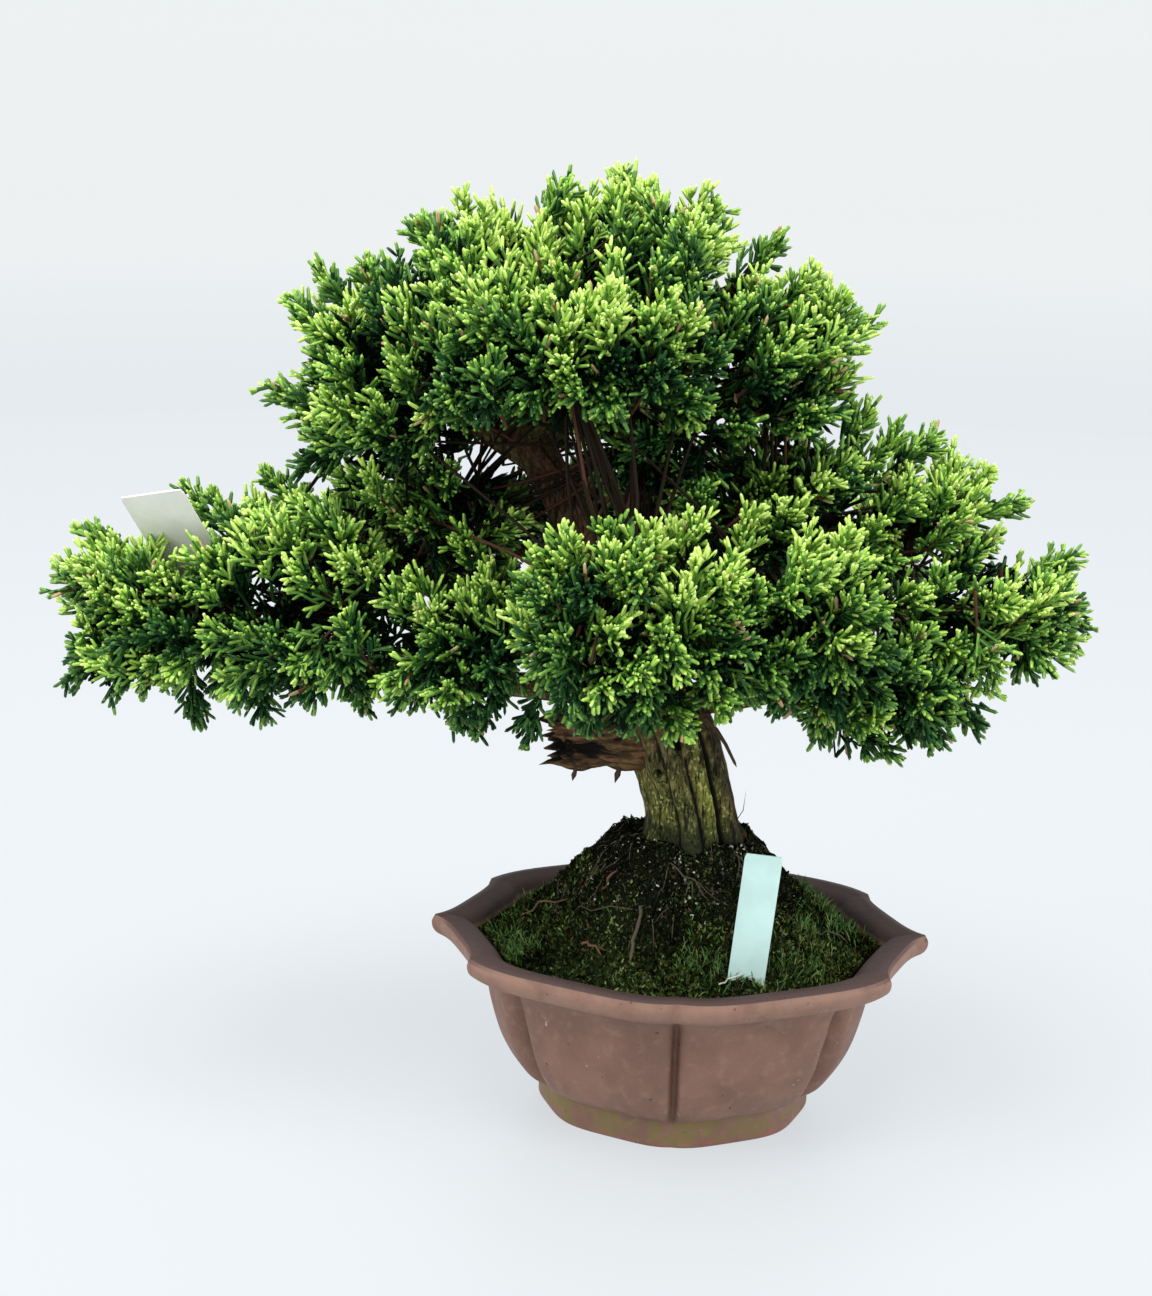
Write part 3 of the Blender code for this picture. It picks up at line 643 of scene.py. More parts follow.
wood = {
    "trunk": [  # x, y, z, radius
        (0.005, 0.000, 0.138, 0.0205), (0.002, 0.000, 0.160, 0.0205),
        (-0.009, 0.001, 0.190, 0.0205), (-0.031, 0.005, 0.228, 0.0155),
        (-0.058, 0.010, 0.290, 0.0100), (-0.082, 0.010, 0.335, 0.0072),
        (-0.060, 0.002, 0.392, 0.0028),
    ],
    "flutes": 5,
    "fluteDepth": 0.10,
    "flareSpread": 0.20,
    "flareShare": 0.10,
    # the trunk's welts and furrows: degrees round from the front, width, height as a share
    "welts": [
        (31, 7, 0.10), (43, 3.2, -0.17), (58, 8, 0.045), (70, 3, -0.06), (12, 2.6, -0.10),
        (20, 3, 0.03), (-15, 2.6, -0.09), (2, 5, 0.02), (-44, 17, 0.035), (-66, 4, -0.06),
        (91, 15, -0.075), (101, 3.5, -0.09), (118, 9, 0.07), (134, 3.5, -0.11), (152, 9, 0.05),
        (170, 3.5, -0.13), (189, 9, 0.07), (207, 4, -0.12), (226, 9, 0.06), (243, 3.5, -0.10),
        (262, 9, 0.05), (279, 3.5, -0.07),
    ],
    # degrees, share of the height, size across in degrees, size along
    "knots": [(8, 0.305, 7, 0.018), (-24, 0.262, 6, 0.014)],
    "fibres": 0.075,  # how high the stringy bark stands, as a share of the radius
    "bumpDepth": 0.0016,
    "sides": 160,
    "rings": 230,
    "bark": (0.078, 0.080, 0.024),
    # dark bark, also painted as the shade in the furrows
    "barkDarkAndShade": (0.005, 0.005, 0.002),
    "barkGreen": (0.280, 0.310, 0.050),
    "barkBright": (0.640, 0.690, 0.240),
    "barkRed": (0.135, 0.064, 0.032),
    "barkPale": (0.360, 0.310, 0.160),
    "barkMoss": (0.010, 0.018, 0.005),
}
boughs = {  # station, tip, base radius, tip radius, rise
    "bough_left": (0.410, (-0.212, -0.006, 0.226), 0.0072, 0.0036, -0.012),
    "bough_left_inner": (0.470, (-0.084, -0.026, 0.228), 0.0044, 0.0026, 0.004),
    "bough_left_back": (0.450, (-0.138, 0.052, 0.243), 0.0052, 0.0028, -0.004),
    "bough_right": (0.375, (0.106, -0.008, 0.231), 0.0072, 0.0034, -0.006),
    "bough_right_back": (0.475, (0.048, 0.052, 0.246), 0.0050, 0.0028, 0.004),
    "bough_front": (0.430, (-0.022, -0.058, 0.240), 0.0058, 0.0032, 0.004),
    "bough_front_right": (0.460, (0.036, -0.036, 0.246), 0.0052, 0.0028, 0.004),
    "bough_back": (0.520, (-0.030, 0.064, 0.262), 0.0052, 0.0028, 0.006),
    "bough_upper_right": (0.575, (0.070, 0.015, 0.284), 0.0052, 0.0028, 0.006),
    "bough_mid_left": (0.590, (-0.112, 0.014, 0.270), 0.0042, 0.0026, 0.004),
    "bough_crown_left": (0.705, (-0.124, -0.002, 0.338), 0.0044, 0.0026, 0.004),
    "bough_crown_right": (0.690, (0.018, 0.002, 0.338), 0.0046, 0.0026, 0.006),
    "bough_crown_front": (0.770, (-0.052, -0.036, 0.350), 0.0038, 0.0024, 0.004),
    "bough_crown_back": (0.740, (-0.048, 0.046, 0.346), 0.0038, 0.0024, 0.004),
}
stub = {
    "station": 0.305,
    "tip": (-0.071, -0.008, 0.182),
    "baseRadius": 0.0155,
    "tipRadius": 0.0115,
    "sides": 96,
    "rings": 80,
    "cavity": -0.30,  # which side is rotted out, in radians up from the front
    "cavityWidth": 0.50,
    "bite": 0.34,  # how far the end is broken back, as a share of the length
    "grain": [
        (0.34, (0.010, 0.006, 0.004)), (0.46, (0.090, 0.044, 0.020)),
        (0.58, (0.230, 0.120, 0.052)), (0.72, (0.330, 0.250, 0.140)),
    ],
    "stain": (0.060, 0.050, 0.022),
    "mossDark": (0.010, 0.013, 0.004),
    "moss": (0.085, 0.085, 0.022),
    # rotted wood, also painted as the shade inside the cavity
    "rotAndShade": (0.005, 0.004, 0.003),
    "loose": (0.070, 0.042, 0.024),  # strips of bark
}


def welts(degrees, share):
    # sum of the furrows and welts that run up the trunk, wandering a little
    degrees = degrees + 5 * math.sin(share * 9 + 0.4) * min(1, share * 5)
    total = 0
    for middle, width, height in wood["welts"]:
        away = (degrees - middle + 180) % 360 - 180
        if abs(away) < 3 * width:
            total += height * bell(away, width)
    total *= max(0.25, 1 - 0.7 * share)
    for middle, level, across, along in wood["knots"]:
        away = math.hypot(((degrees - middle + 180) % 360 - 180) / across, (share - level) / along)
        total += 0.09 * bell(away - 1.2, 0.5) - 0.20 * bell(away, 0.7)
    return total


def fibres(share, angle, length, fine=1.0):
    # stringy bark: noise drawn out along the limb
    x, y = math.cos(angle), math.sin(angle)
    wide = noise.noise(Vector((x * 3.2, y * 3.2, share * length * 26)))
    narrow = noise.noise(Vector((x * 9 * fine, y * 9 * fine, share * length * 60)))
    hair = noise.noise(Vector((x * 24 * fine, y * 24 * fine, share * length * 110)))
    return wide * 0.45 + narrow * 0.35 + hair * 0.20


def trunkReach(share, angle, radius):
    flutes = 1 + wood["fluteDepth"] * (1 - share) * math.cos(wood["flutes"] * angle + 5 * share)
    flare = max(0, 1 - share / wood["flareShare"]) ** 2
    lobes = 1 + wood["flareSpread"] * flare * (0.6 + 0.4 * math.cos(wood["flutes"] * angle))
    relief = welts(math.degrees(angle), share) + wood["fibres"] * fibres(share, angle, 0.30)
    return radius * flutes * lobes * (0.980 + relief)


def trunkMarks(rows):
    # how deep each point of the trunk lies in a furrow, for the painted shade there, and how green and
    # red it is
    hollow, green, red = [], [], []
    last = len(rows) - 1
    for i, ring in enumerate(rows):
        share = i / last
        for side in range(len(ring)):
            angle = 2 * math.pi * side / len(ring)
            degrees = (math.degrees(angle) + 180) % 360 - 180
            relief = welts(degrees, share) + 0.05 * fibres(share, angle, 0.30)
            # painted shade: the deeper a furrow or knot hole, the darker
            hollow.append(min(1, max(0, 0.12 - relief * 9)))
            around = Vector((math.cos(angle) * 1.6, math.sin(angle) * 1.6, share * 11))
            patch = noise.noise(around)
            left = 0.75 * bell(degrees + 32, 28) * bell(share - 0.16, 0.12)
            welt = bell(degrees - 30, 11) + left - 0.6 * bell(degrees - 72, 18)
            green.append(min(1, max(0, (0.40 + patch * 0.8 + welt) * (1 - share * 2.2))))
            right = 0.9 * bell(degrees - 70, 18)
            red.append(min(1, max(0, share * 2.4 - 0.25 + patch + right)))
    return {"hollow": hollow, "green": green, "red": red}


def barkLook():
    look = Look("bark", Roughness=0.85, Specular_IOR_Level=0.22)
    fine = look.noise(1100, 5, 0.7, stretch=(1, 1, 0.30))
    mottle = look.noise(300, 5, 0.68, stretch=(1, 1, 0.45))
    strings = look.noise(520, 4, 0.6, stretch=(1, 1, 0.10))
    flecks = look.noise(700, 2, 0.5, stretch=(1, 1, 0.6))
    colour = look.mix(fine.between(0.42, 0.62), wood["barkDarkAndShade"], wood["bark"])
    colour = look.mix(mottle.between(0.50, 0.68) * 0.7, colour, wood["barkPale"])
    red = look.attribute("red") * 0.75 * mottle.between(0.25, 0.60)
    colour = look.mix(red, colour, wood["barkRed"])
    green = look.attribute("green")
    tint = green * fine.between(0.34, 0.54) * (0.25 + 0.75 * mottle.between(0.36, 0.58))
    colour = look.mix(tint, colour, wood["barkGreen"])
    colour = look.mix(green * flecks.between(0.57, 0.64) * 0.9, colour, wood["barkBright"])
    colour = look.mix(flecks.between(0.335, 0.29) * 0.55, colour, wood["barkRed"])
    base = (1 - look.height().between(0.137, 0.158)) * 1.6
    base = (base * mottle.between(0.34, 0.56)).clamped() * 0.80
    colour = look.mix(base, colour, wood["barkMoss"])
    colour = look.mix(strings.between(0.47, 0.37) * 0.9, colour, wood["barkDarkAndShade"])
    # painted shade darkens the furrows and the knots' hollows
    colour = look.mix(look.attribute("hollow").between(0.20, 0.85), colour, wood["barkDarkAndShade"])
    look.join(colour, "Base Color")
    look.bump(fine * 0.7 + mottle * 0.7 + strings * 1.1, wood["bumpDepth"])
    return look.material


def limbPath(station, tip, baseRadius, tipRadius, rise, rings):
    line = curveThrough(wood["trunk"], 200)
    row = line[round(station * 200)]
    start, tip = Vector(row[:3]), Vector(tip)
    start = start + (tip - start).normalized() * row[3] * 0.4
    middle = start.lerp(tip, 0.5) + Vector((0, 0, rise))
    path = []
    for i in range(rings + 1):
        t = i / rings
        point = start * (1 - t) ** 2 + middle * 2 * t * (1 - t) + tip * t**2
        path.append((*point, baseRadius + (tipRadius - baseRadius) * t))
    return path


bark = barkLook()
trunkLine = curveThrough(wood["trunk"], wood["rings"])
trunkRows = tubeRows(trunkLine, wood["sides"], trunkReach, upright=True)
trunkPiece = closedRows("trunk_bark", trunkRows, [bark], "bark", trunkMarks(trunkRows))
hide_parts("trunk")
print("trunk barked")


def growBoughs():
    # every bough with its bark, joined into one mesh
    points, quads, marks = [], [], {"hollow": [], "green": [], "red": []}
    sides, rings = 28, 56
    for number, row in enumerate(boughs.values()):
        path = limbPath(*row, rings=rings)

        def reach(share, angle, radius, seed=number * 7.3):
            knot = 0.16 * noise.noise(Vector((share * 5, seed, 0)))
            ridges = 0.20 * fibres(share + seed, angle, 0.16, 0.55)
            return radius * (1 + knot + ridges) * (1 if share < 0.97 else 0.7)

        rows = tubeRows(path, sides, reach)
        quads.append(ringQuads(len(rows), sides, len(points)))
        for i, ring in enumerate(rows):
            for side, point in enumerate(ring):
                points.append(point)
                angle = 2 * math.pi * side / sides
                relief = fibres(i / rings + number * 7.3, angle, 0.16, 0.55)
                # painted shade in the boughs' furrows
                marks["hollow"].append(min(1, max(0, 0.05 - relief * 1.7)))
                marks["green"].append(0.15)
                marks["red"].append(min(1, max(0, 0.55 + relief)))
    return meshPiece("boughs_bark", points, quads, [bark], slot="bark", marks=marks)


boughPiece = growBoughs()
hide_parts(*boughs)
print("boughs barked")


def deadwoodLook():
    look = Look("deadwood", Roughness=0.85, Specular_IOR_Level=0.2)
    way = look.noise(360, 5, 0.7, stretch=(0.16, 1, 1))
    mottle = look.noise(230, 4, 0.65)
    colour = look.ramp(way, stub["grain"])
    colour = look.mix(mottle.between(0.50, 0.66) * 0.6, colour, stub["stain"])
    green = look.attribute("green") * mottle.between(0.30, 0.55)
    colour = look.mix(green * 0.85, colour, look.mix(way, stub["mossDark"], stub["moss"]))
    # rot and painted shade darken the cavity and the inside of the broken end
    colour = look.mix(look.attribute("hollow").between(0.15, 0.75), colour, stub["rotAndShade"])
    look.join(colour, "Base Color")
    look.bump(way * 1.2 + mottle * 0.4, 0.0018)
    return look.material


def facing(angle, middle, width):
    # 1 where a side of a limb looks towards the middle angle
    return bell((angle - middle + math.pi) % math.tau - math.pi, width)


def breakStub():
    # a broken limb: split along its grain, ragged at the end, rotted out at its front
    radii = stub["baseRadius"], stub["tipRadius"]
    path = limbPath(stub["station"], stub["tip"], *radii, 0.002, stub["rings"])
    length = (Vector(path[-1][:3]) - Vector(path[0][:3])).length
    ahead = np.array((Vector(path[-1][:3]) - Vector(path[-8][:3])).normalized())
    sides = stub["sides"]

    def cavity(share, angle):
        ragged = 0.25 * noise.noise(Vector((share * 9, angle * 3, 4)))
        along = bell(share - 0.72, 0.30 + ragged * 0.4)
        across = facing(angle, stub["cavity"] + ragged, stub["cavityWidth"])
        return min(1, 1.7 * across * along)

    def reach(share, angle, radius):
        split = 0.30 * fibres(share, angle, 0.10, 0.6)
        around = Vector((share * 4, math.cos(angle) * 2, math.sin(angle) * 2))
        knot = 0.14 * noise.noise(around)
        return radius * (1 + split + knot) * (1 - 0.50 * cavity(share, angle))

    rows = tubeRows(path, sides, reach)
    hollow, green = [], []
    for i, ring in enumerate(rows):
        share = i / (len(rows) - 1)
        for side in range(sides):
            angle = math.tau * side / sides
            relief = 1.5 * fibres(share, angle, 0.10, 0.6)
            # the cavity is darkened, partly as rot and partly as painted shade
            hollow.append(min(1, max(0, cavity(share, angle) * 1.2 - relief)))
            green.append(facing(angle, -1.7, 0.75))
            across = Vector((math.cos(angle), math.sin(angle), 0))
            bite = 0.5 + 0.45 * noise.noise(across * 2.2) + 0.40 * noise.noise(across * 6.5)
            bite += 0.5 * facing(angle, stub["cavity"], 0.6)
            ring[side] -= ahead * max(0, (share - 0.62) / 0.38) ** 2 * bite * stub["bite"] * length
    centre = np.array(path[-1][:3]) - ahead * length * 0.34
    inner = []
    for depth, size in ((0.02, 0.80), (0.10, 0.66), (0.20, 0.46)):
        inner.append(centre + (rows[-1] - centre) * size - ahead * length * depth)
    # the inside of the broken end is darkest, as painted shade
    hollow += [1.0] * (len(inner) * sides)
    green += [0.0] * (len(inner) * sides)
    rows = np.concatenate([rows, np.array(inner)])
    marks = {"hollow": hollow, "green": green}
    return closedRows("broken_stub", rows, [deadwoodLook()], "deadwood", marks)


stubPiece = breakStub()
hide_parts("dead_stub")


def peelStrips():
    # the long strip at the right edge, flakes under the stub, hair roots at the foot
    tufts = Tufts()
    strips = [
        [(0.008, -0.014, 0.199, 0.0011), (0.0135, -0.014, 0.193, 0.0011),
         (0.018, -0.013, 0.186, 0.0009), (0.0225, -0.012, 0.177, 0.0007),
         (0.0235, -0.012, 0.175, 0.0001)],
        [(-0.030, -0.010, 0.172, 0.0010), (-0.031, -0.011, 0.169, 0.0016),
         (-0.032, -0.012, 0.165, 0.0002)],
        [(-0.050, -0.010, 0.171, 0.0008), (-0.051, -0.011, 0.168, 0.0013),
         (-0.0515, -0.011, 0.165, 0.0002)],
        [(0.024, -0.006, 0.146, 0.0002), (0.0275, -0.008, 0.153, 0.0002),
         (0.0285, -0.008, 0.164, 0.0001)],
        [(0.022, -0.008, 0.140, 0.0003), (0.029, -0.012, 0.143, 0.0002),
         (0.031, -0.012, 0.137, 0.0001)],
    ]
    for rows in strips:
        tufts.strand([(Vector(row[:3]), row[3]) for row in rows], 5, 0)
    look = plainLook("loose_bark_brown", stub["loose"], 0.85)
    return tufts.piece("loose_bark", [look], "bark")


peelStrips()
print("stub broken and loose bark hung")


masses = {  # carrier, middle, half sizes across, in depth, up and down
    "foliage_left_tip": ("bough_left", (-0.245, -0.008, 0.238), (0.044, 0.046, 0.040, 0.044)),
    "foliage_left_middle": ("bough_left", (-0.176, -0.012, 0.242), (0.050, 0.052, 0.058, 0.046)),
    "foliage_left_back": ("bough_left_back", (-0.150, 0.072, 0.250), (0.052, 0.042, 0.042, 0.038)),
    "foliage_left_inner": ("bough_left_inner", (-0.100, -0.036, 0.234), (0.036, 0.040, 0.036, 0.036)),
    "foliage_middle_left": ("bough_mid_left", (-0.112, 0.022, 0.286), (0.044, 0.050, 0.036, 0.034)),
    "foliage_front": ("bough_front", (-0.024, -0.082, 0.258), (0.056, 0.042, 0.048, 0.048)),
    "foliage_front_right": ("bough_front_right", (0.048, -0.054, 0.255), (0.044, 0.044, 0.044, 0.038)),
    "foliage_right_tip": ("bough_right", (0.130, -0.006, 0.252), (0.050, 0.046, 0.030, 0.031)),
    "foliage_right_low": ("bough_right", (0.086, -0.022, 0.216), (0.044, 0.044, 0.030, 0.027)),
    "foliage_right_upper": ("bough_upper_right", (0.098, 0.022, 0.288), (0.044, 0.046, 0.032, 0.034)),
    "foliage_right_back": ("bough_right_back", (0.066, 0.076, 0.256), (0.054, 0.042, 0.042, 0.038)),
    "foliage_centre_right": ("bough_upper_right", (0.034, 0.010, 0.296), (0.044, 0.048, 0.036, 0.040)),
    "foliage_back": ("bough_back", (-0.038, 0.090, 0.268), (0.056, 0.044, 0.044, 0.042)),
    "foliage_crown_left": ("bough_crown_left", (-0.136, -0.004, 0.346), (0.047, 0.052, 0.045, 0.042)),
    "foliage_crown_top_left": ("trunk", (-0.092, 0.004, 0.384), (0.046, 0.054, 0.042, 0.036)),
    "foliage_crown_top": ("trunk", (-0.030, 0.002, 0.388), (0.046, 0.056, 0.048, 0.036)),
    "foliage_crown_right": ("bough_crown_right", (0.032, 0.002, 0.355), (0.042, 0.054, 0.047, 0.042)),
    "foliage_crown_front": ("bough_crown_front", (-0.056, -0.058, 0.362), (0.060, 0.038, 0.038, 0.032)),
    "foliage_crown_low": ("trunk", (-0.024, -0.014, 0.322), (0.028, 0.034, 0.030, 0.028)),
    "foliage_crown_back": ("bough_crown_back", (-0.048, 0.066, 0.352), (0.066, 0.044, 0.046, 0.042)),
}
crown = {
    "fullness": 2.7,
    "blend": 4.6,  # lower numbers fill the folds between masses more
    "skin": 0.945,  # where the shared skin lies, 1 being the outermost
    "heart": (-0.050, 0.0, 0.270),
    "starts": 140,  # places tried round each mass
    "buried": 0.54,  # of the shared skin; places deeper than this grow no tuft
    "spacing": (0.0152, 0.0190),  # between tufts, at the front and at the back
    "inset": 0.0094,  # from the skin to a tuft's axis, for the shoots that reach on
    "pull": (0.000, 0.011),  # how much further a tuft stops short of the skin
    "tuftLength": (0.026, 0.038),
    "sprays": 9,
    "sprayLength": (0.012, 0.020),
    "sprayAngle": (20, 50),
    "shootStep": 0.0030,
    "shootLength": (0.0066, 0.0120),
    "shootRadius": (0.00090, 0.00118),
    "shootAngle": (22, 48),
    "forks": 0.55,
    "lift": 0.42,  # how far tufts turn up to the light
    "stray": 0.30,  # how far tufts turn from their straight way
    # glow is painted light: tufts that face up get paler tones, and those that hang or sit deeper get
    # darker ones as painted shade
    "glow": 0.80,  # of a tuft that looks level; brighter tufts have paler tips
    "glowRise": 0.26,
    "glowSpread": 0.17,
    "glowUnder": 0.52,  # of sprigs that hang
    "fillers": 18,
    "fillerDepth": (0.022, 0.026),  # where they start under the skin, and how deep they go
    # places kept open: middle, half sizes
    "windows": [
        ((-0.064, -0.045, 0.306), (0.024, 0.050, 0.015)),
    ],
    "sprigInset": (0.012, 0.0092),  # at the foot and at the tip, for the shoots that reach on
    "sprigSpread": 0.55,
    # sprigs that stand out of the crown: foot, tip
    "sprigs": [
        ((-0.158, -0.006, 0.367), (-0.181, -0.006, 0.382)),
        ((-0.167, -0.006, 0.332), (-0.191, -0.006, 0.340)),
        ((-0.038, 0.002, 0.416), (-0.038, 0.002, 0.436)),
        ((-0.218, 0.012, 0.273), (-0.235, 0.012, 0.293)),
        ((-0.066, -0.004, 0.415), (-0.058, -0.004, 0.431)),
        ((0.146, -0.004, 0.241), (0.169, -0.004, 0.250)),
        ((0.149, 0.004, 0.262), (0.170, 0.004, 0.276)),
        ((0.125, 0.014, 0.286), (0.150, 0.014, 0.294)),
        ((0.054, 0.002, 0.370), (0.075, 0.002, 0.376)),
        ((0.142, -0.012, 0.240), (0.164, -0.012, 0.236)),
        ((-0.263, -0.010, 0.247), (-0.288, -0.010, 0.255)),
        ((-0.259, -0.004, 0.260), (-0.278, -0.004, 0.275)),
        ((-0.179, 0.004, 0.284), (-0.196, 0.004, 0.301)),
        ((-0.114, -0.004, 0.400), (-0.128, -0.004, 0.413)),
        ((-0.005, 0.002, 0.406), (0.004, 0.002, 0.424)),
        ((0.017, 0.004, 0.394), (0.031, 0.004, 0.411)),
        ((-0.224, -0.014, 0.210), (-0.222, -0.014, 0.187)),
        ((-0.200, -0.018, 0.212), (-0.196, -0.018, 0.191)),
        ((-0.151, -0.022, 0.215), (-0.145, -0.022, 0.197)),
        ((-0.097, -0.034, 0.213), (-0.093, -0.034, 0.193)),
        ((-0.269, -0.016, 0.220), (-0.285, -0.016, 0.204)),
        ((-0.252, -0.020, 0.220), (-0.262, -0.020, 0.200)),
        ((0.057, -0.034, 0.217), (0.057, -0.034, 0.195)),
        ((0.080, -0.030, 0.217), (0.080, -0.030, 0.195)),
        ((0.097, -0.024, 0.217), (0.101, -0.024, 0.196)),
        ((0.112, -0.020, 0.216), (0.129, -0.020, 0.197)),
        ((0.043, -0.040, 0.225), (0.037, -0.040, 0.211)),
        ((-0.021, -0.050, 0.221), (-0.026, -0.050, 0.204)),
        ((0.011, -0.040, 0.226), (0.015, -0.040, 0.210)),
        ((0.094, 0.020, 0.313), (0.107, 0.020, 0.323)),
        ((-0.155, -0.006, 0.378), (-0.167, -0.006, 0.392)),
        ((-0.143, -0.002, 0.382), (-0.149, -0.002, 0.396)),
        ((0.066, 0.006, 0.323), (0.074, 0.006, 0.337)),
        ((0.085, 0.012, 0.314), (0.092, 0.012, 0.328)),
        ((-0.160, -0.004, 0.323), (-0.177, -0.004, 0.325)),
        ((-0.158, -0.004, 0.312), (-0.176, -0.004, 0.306)),
        ((-0.064, -0.050, 0.215), (-0.068, -0.050, 0.197)),
        ((-0.044, -0.060, 0.219), (-0.046, -0.060, 0.206)),
        ((-0.206, 0.006, 0.266), (-0.220, 0.006, 0.291)),
        ((0.029, -0.050, 0.245), (0.027, -0.050, 0.223)),
    ],
}
leafLooks = [  # from the shaded foot of a shoot to the palest tips; then dead ones
    # these tones also paint light and shade: paler for tufts that face up and lie outward, darker
    # inside
    plainLook("leaf_shade", (0.0015, 0.0080, 0.0020), 0.85, 0.05),
    plainLook("leaf_deep", (0.0040, 0.0260, 0.0060), 0.75, 0.10),
    plainLook("leaf_dark", (0.0120, 0.0640, 0.0120), 0.65, 0.20),
    plainLook("leaf_green", (0.0500, 0.1550, 0.0170), 0.50, 0.40),
    plainLook("leaf_mid", (0.1350, 0.3000, 0.0300), 0.45, 0.50),
    plainLook("leaf_light", (0.2800, 0.4900, 0.0550), 0.42, 0.50),
    plainLook("leaf_tip", (0.4700, 0.6700, 0.1200), 0.42, 0.50),
    plainLook("leaf_pale", (0.5600, 0.7400, 0.2200), 0.45, 0.50),
    plainLook("leaf_rust", (0.1500, 0.0700, 0.0280), 0.70, 0.20),
    plainLook("leaf_straw", (0.4200, 0.3000, 0.1500), 0.60, 0.30),
]
woodLooks = [
    plainLook("twig_red", (0.080, 0.030, 0.018), 0.75, 0.2),
    # a darker brown for the inner twigs, which also paints the shade inside the crown
    plainLook("twig_brown_shaded", (0.016, 0.010, 0.006), 0.8, 0.1),
    plainLook("twig_green", (0.006, 0.030, 0.007), 0.7, 0.1),
]


class Space:
    # the room of one mass: a full ovoid
    def __init__(self, name):
        self.carrier, middle, self.halfSizes = masses[name]
        self.middle = Vector(middle)

    def levels(self, points):
        # 0 at the middle, 1 on the shell
        across, depth, up, down = self.halfSizes
        offsets = points - np.array(self.middle)
        heights = np.where(offsets[:, 2] > 0, offsets[:, 2] / up, offsets[:, 2] / down)
        shares = np.stack([offsets[:, 0] / across, offsets[:, 1] / depth, heights], axis=1)
        return (np.abs(shares) ** crown["fullness"]).sum(axis=1) ** (1 / crown["fullness"])

    def reach(self, direction):
        return 1 / self.levels(np.array([self.middle + direction]))[0]


spaces = {name: Space(name) for name in masses}


def crownLevels(points):
    # 1 on the one skin that all masses share, less inside it
    total = np.zeros(len(points))
    for space in spaces.values():
        total += np.maximum(space.levels(points), 0.05) ** -crown["blend"]
    return total ** (-1 / crown["blend"]) / crown["skin"]


def skinDistances(starts, ways):
    # how far each line runs before it leaves the crown
    low, high = np.zeros(len(starts)), np.full(len(starts), 0.09)
    for _ in range(12):
        middle = (low + high) / 2
        inside = crownLevels(starts + ways * middle[:, None]) < 1
        low, high = np.where(inside, middle, low), np.where(inside, high, middle)
    return low


def skinNormals(points):
    steps = np.eye(3) * 0.004
    slopes = [crownLevels(points + step) - crownLevels(points - step) for step in steps]
    normals = np.stack(slopes, axis=1)
    return normals / np.linalg.norm(normals, axis=1, keepdims=True)


def evenDirections(count, chance):
    # spread evenly over a ball
    for number in range(count):
        height = 1 - 2 * (number + 0.5) / count
        angle = number * goldenAngle + chance.uniform(-0.2, 0.2)
        flat = math.sqrt(1 - height**2)
        yield Vector((flat * math.cos(angle), flat * math.sin(angle), height))


class Shoots:
    # the scale-leaved shoots: foot, way, bend, length, radius and tones of each
    def __init__(self):
        self.rows = []
        self.tones = []

    def add(self, foot, way, bend, length, radius, tones):
        self.rows.append((*foot, *way, *bend, length, radius))
        self.tones.append(tones)

    def piece(self, name, rings):
        # each shoot is a three-sided cord that swells, then ends in a blunt tip
        rows = np.array(self.rows)
        foot, way, bend = rows[:, 0:3], rows[:, 3:6], rows[:, 6:9]
        length, radius = rows[:, 9:10], rows[:, 10:11]
        across = np.cross(way, bend + np.array([0.01, 0.02, 0.03]))
        across /= np.linalg.norm(across, axis=1, keepdims=True)
        aside = np.cross(way, across)
        found = []
        for share, size in rings:
            centre = foot + way * length * share + bend * length * share**2
            for third in range(3):
                angle = math.tau * third / 3
                turned = across * math.cos(angle) + aside * math.sin(angle)
                found.append(centre + turned * radius * size)
        found.append(foot + (way + bend) * length)
        points = np.stack(found, axis=1).reshape(-1, 3)
        first = np.arange(len(rows))[:, None, None] * len(found)
        side = np.arange(3)
        after = (side + 1) % 3
        blocks, shades = [], []
        tones = np.array(self.tones)
        for part in range(len(rings) - 1):
            quad = np.stack([side, after, after + 3, side + 3], axis=-1) + 3 * part
            blocks.append((quad + first).reshape(-1, 4))
            shades.append(np.repeat(tones[:, part + 3 - len(rings)], 3))
        last = 3 * (len(rings) - 1)
        tip = np.stack([side + last, after + last, np.full(3, last + 3)], axis=-1)
        blocks.append((tip + first).reshape(-1, 3))
        shades.append(np.repeat(tones[:, 2], 3))
        return meshPiece(name, points, blocks, leafLooks, np.concatenate(shades), "foliage")


def tonesFor(glow, chance):
    # the three tones along a shoot: foot, middle and tip
    if chance.random() < 0.012:
        return (8, 9, 9)
    # a higher glow, which is painted light, gives paler tones
    step = glow * 6.0 + chance.gauss(0, 0.65)
    foot = min(4, max(0, round(step * 0.66 - 0.3)))
    middle = min(6, max(0, round(step * 0.98)))
    tip = min(7, max(1, round(step * 1.10 + 0.45)))
    return (foot, middle, tip)


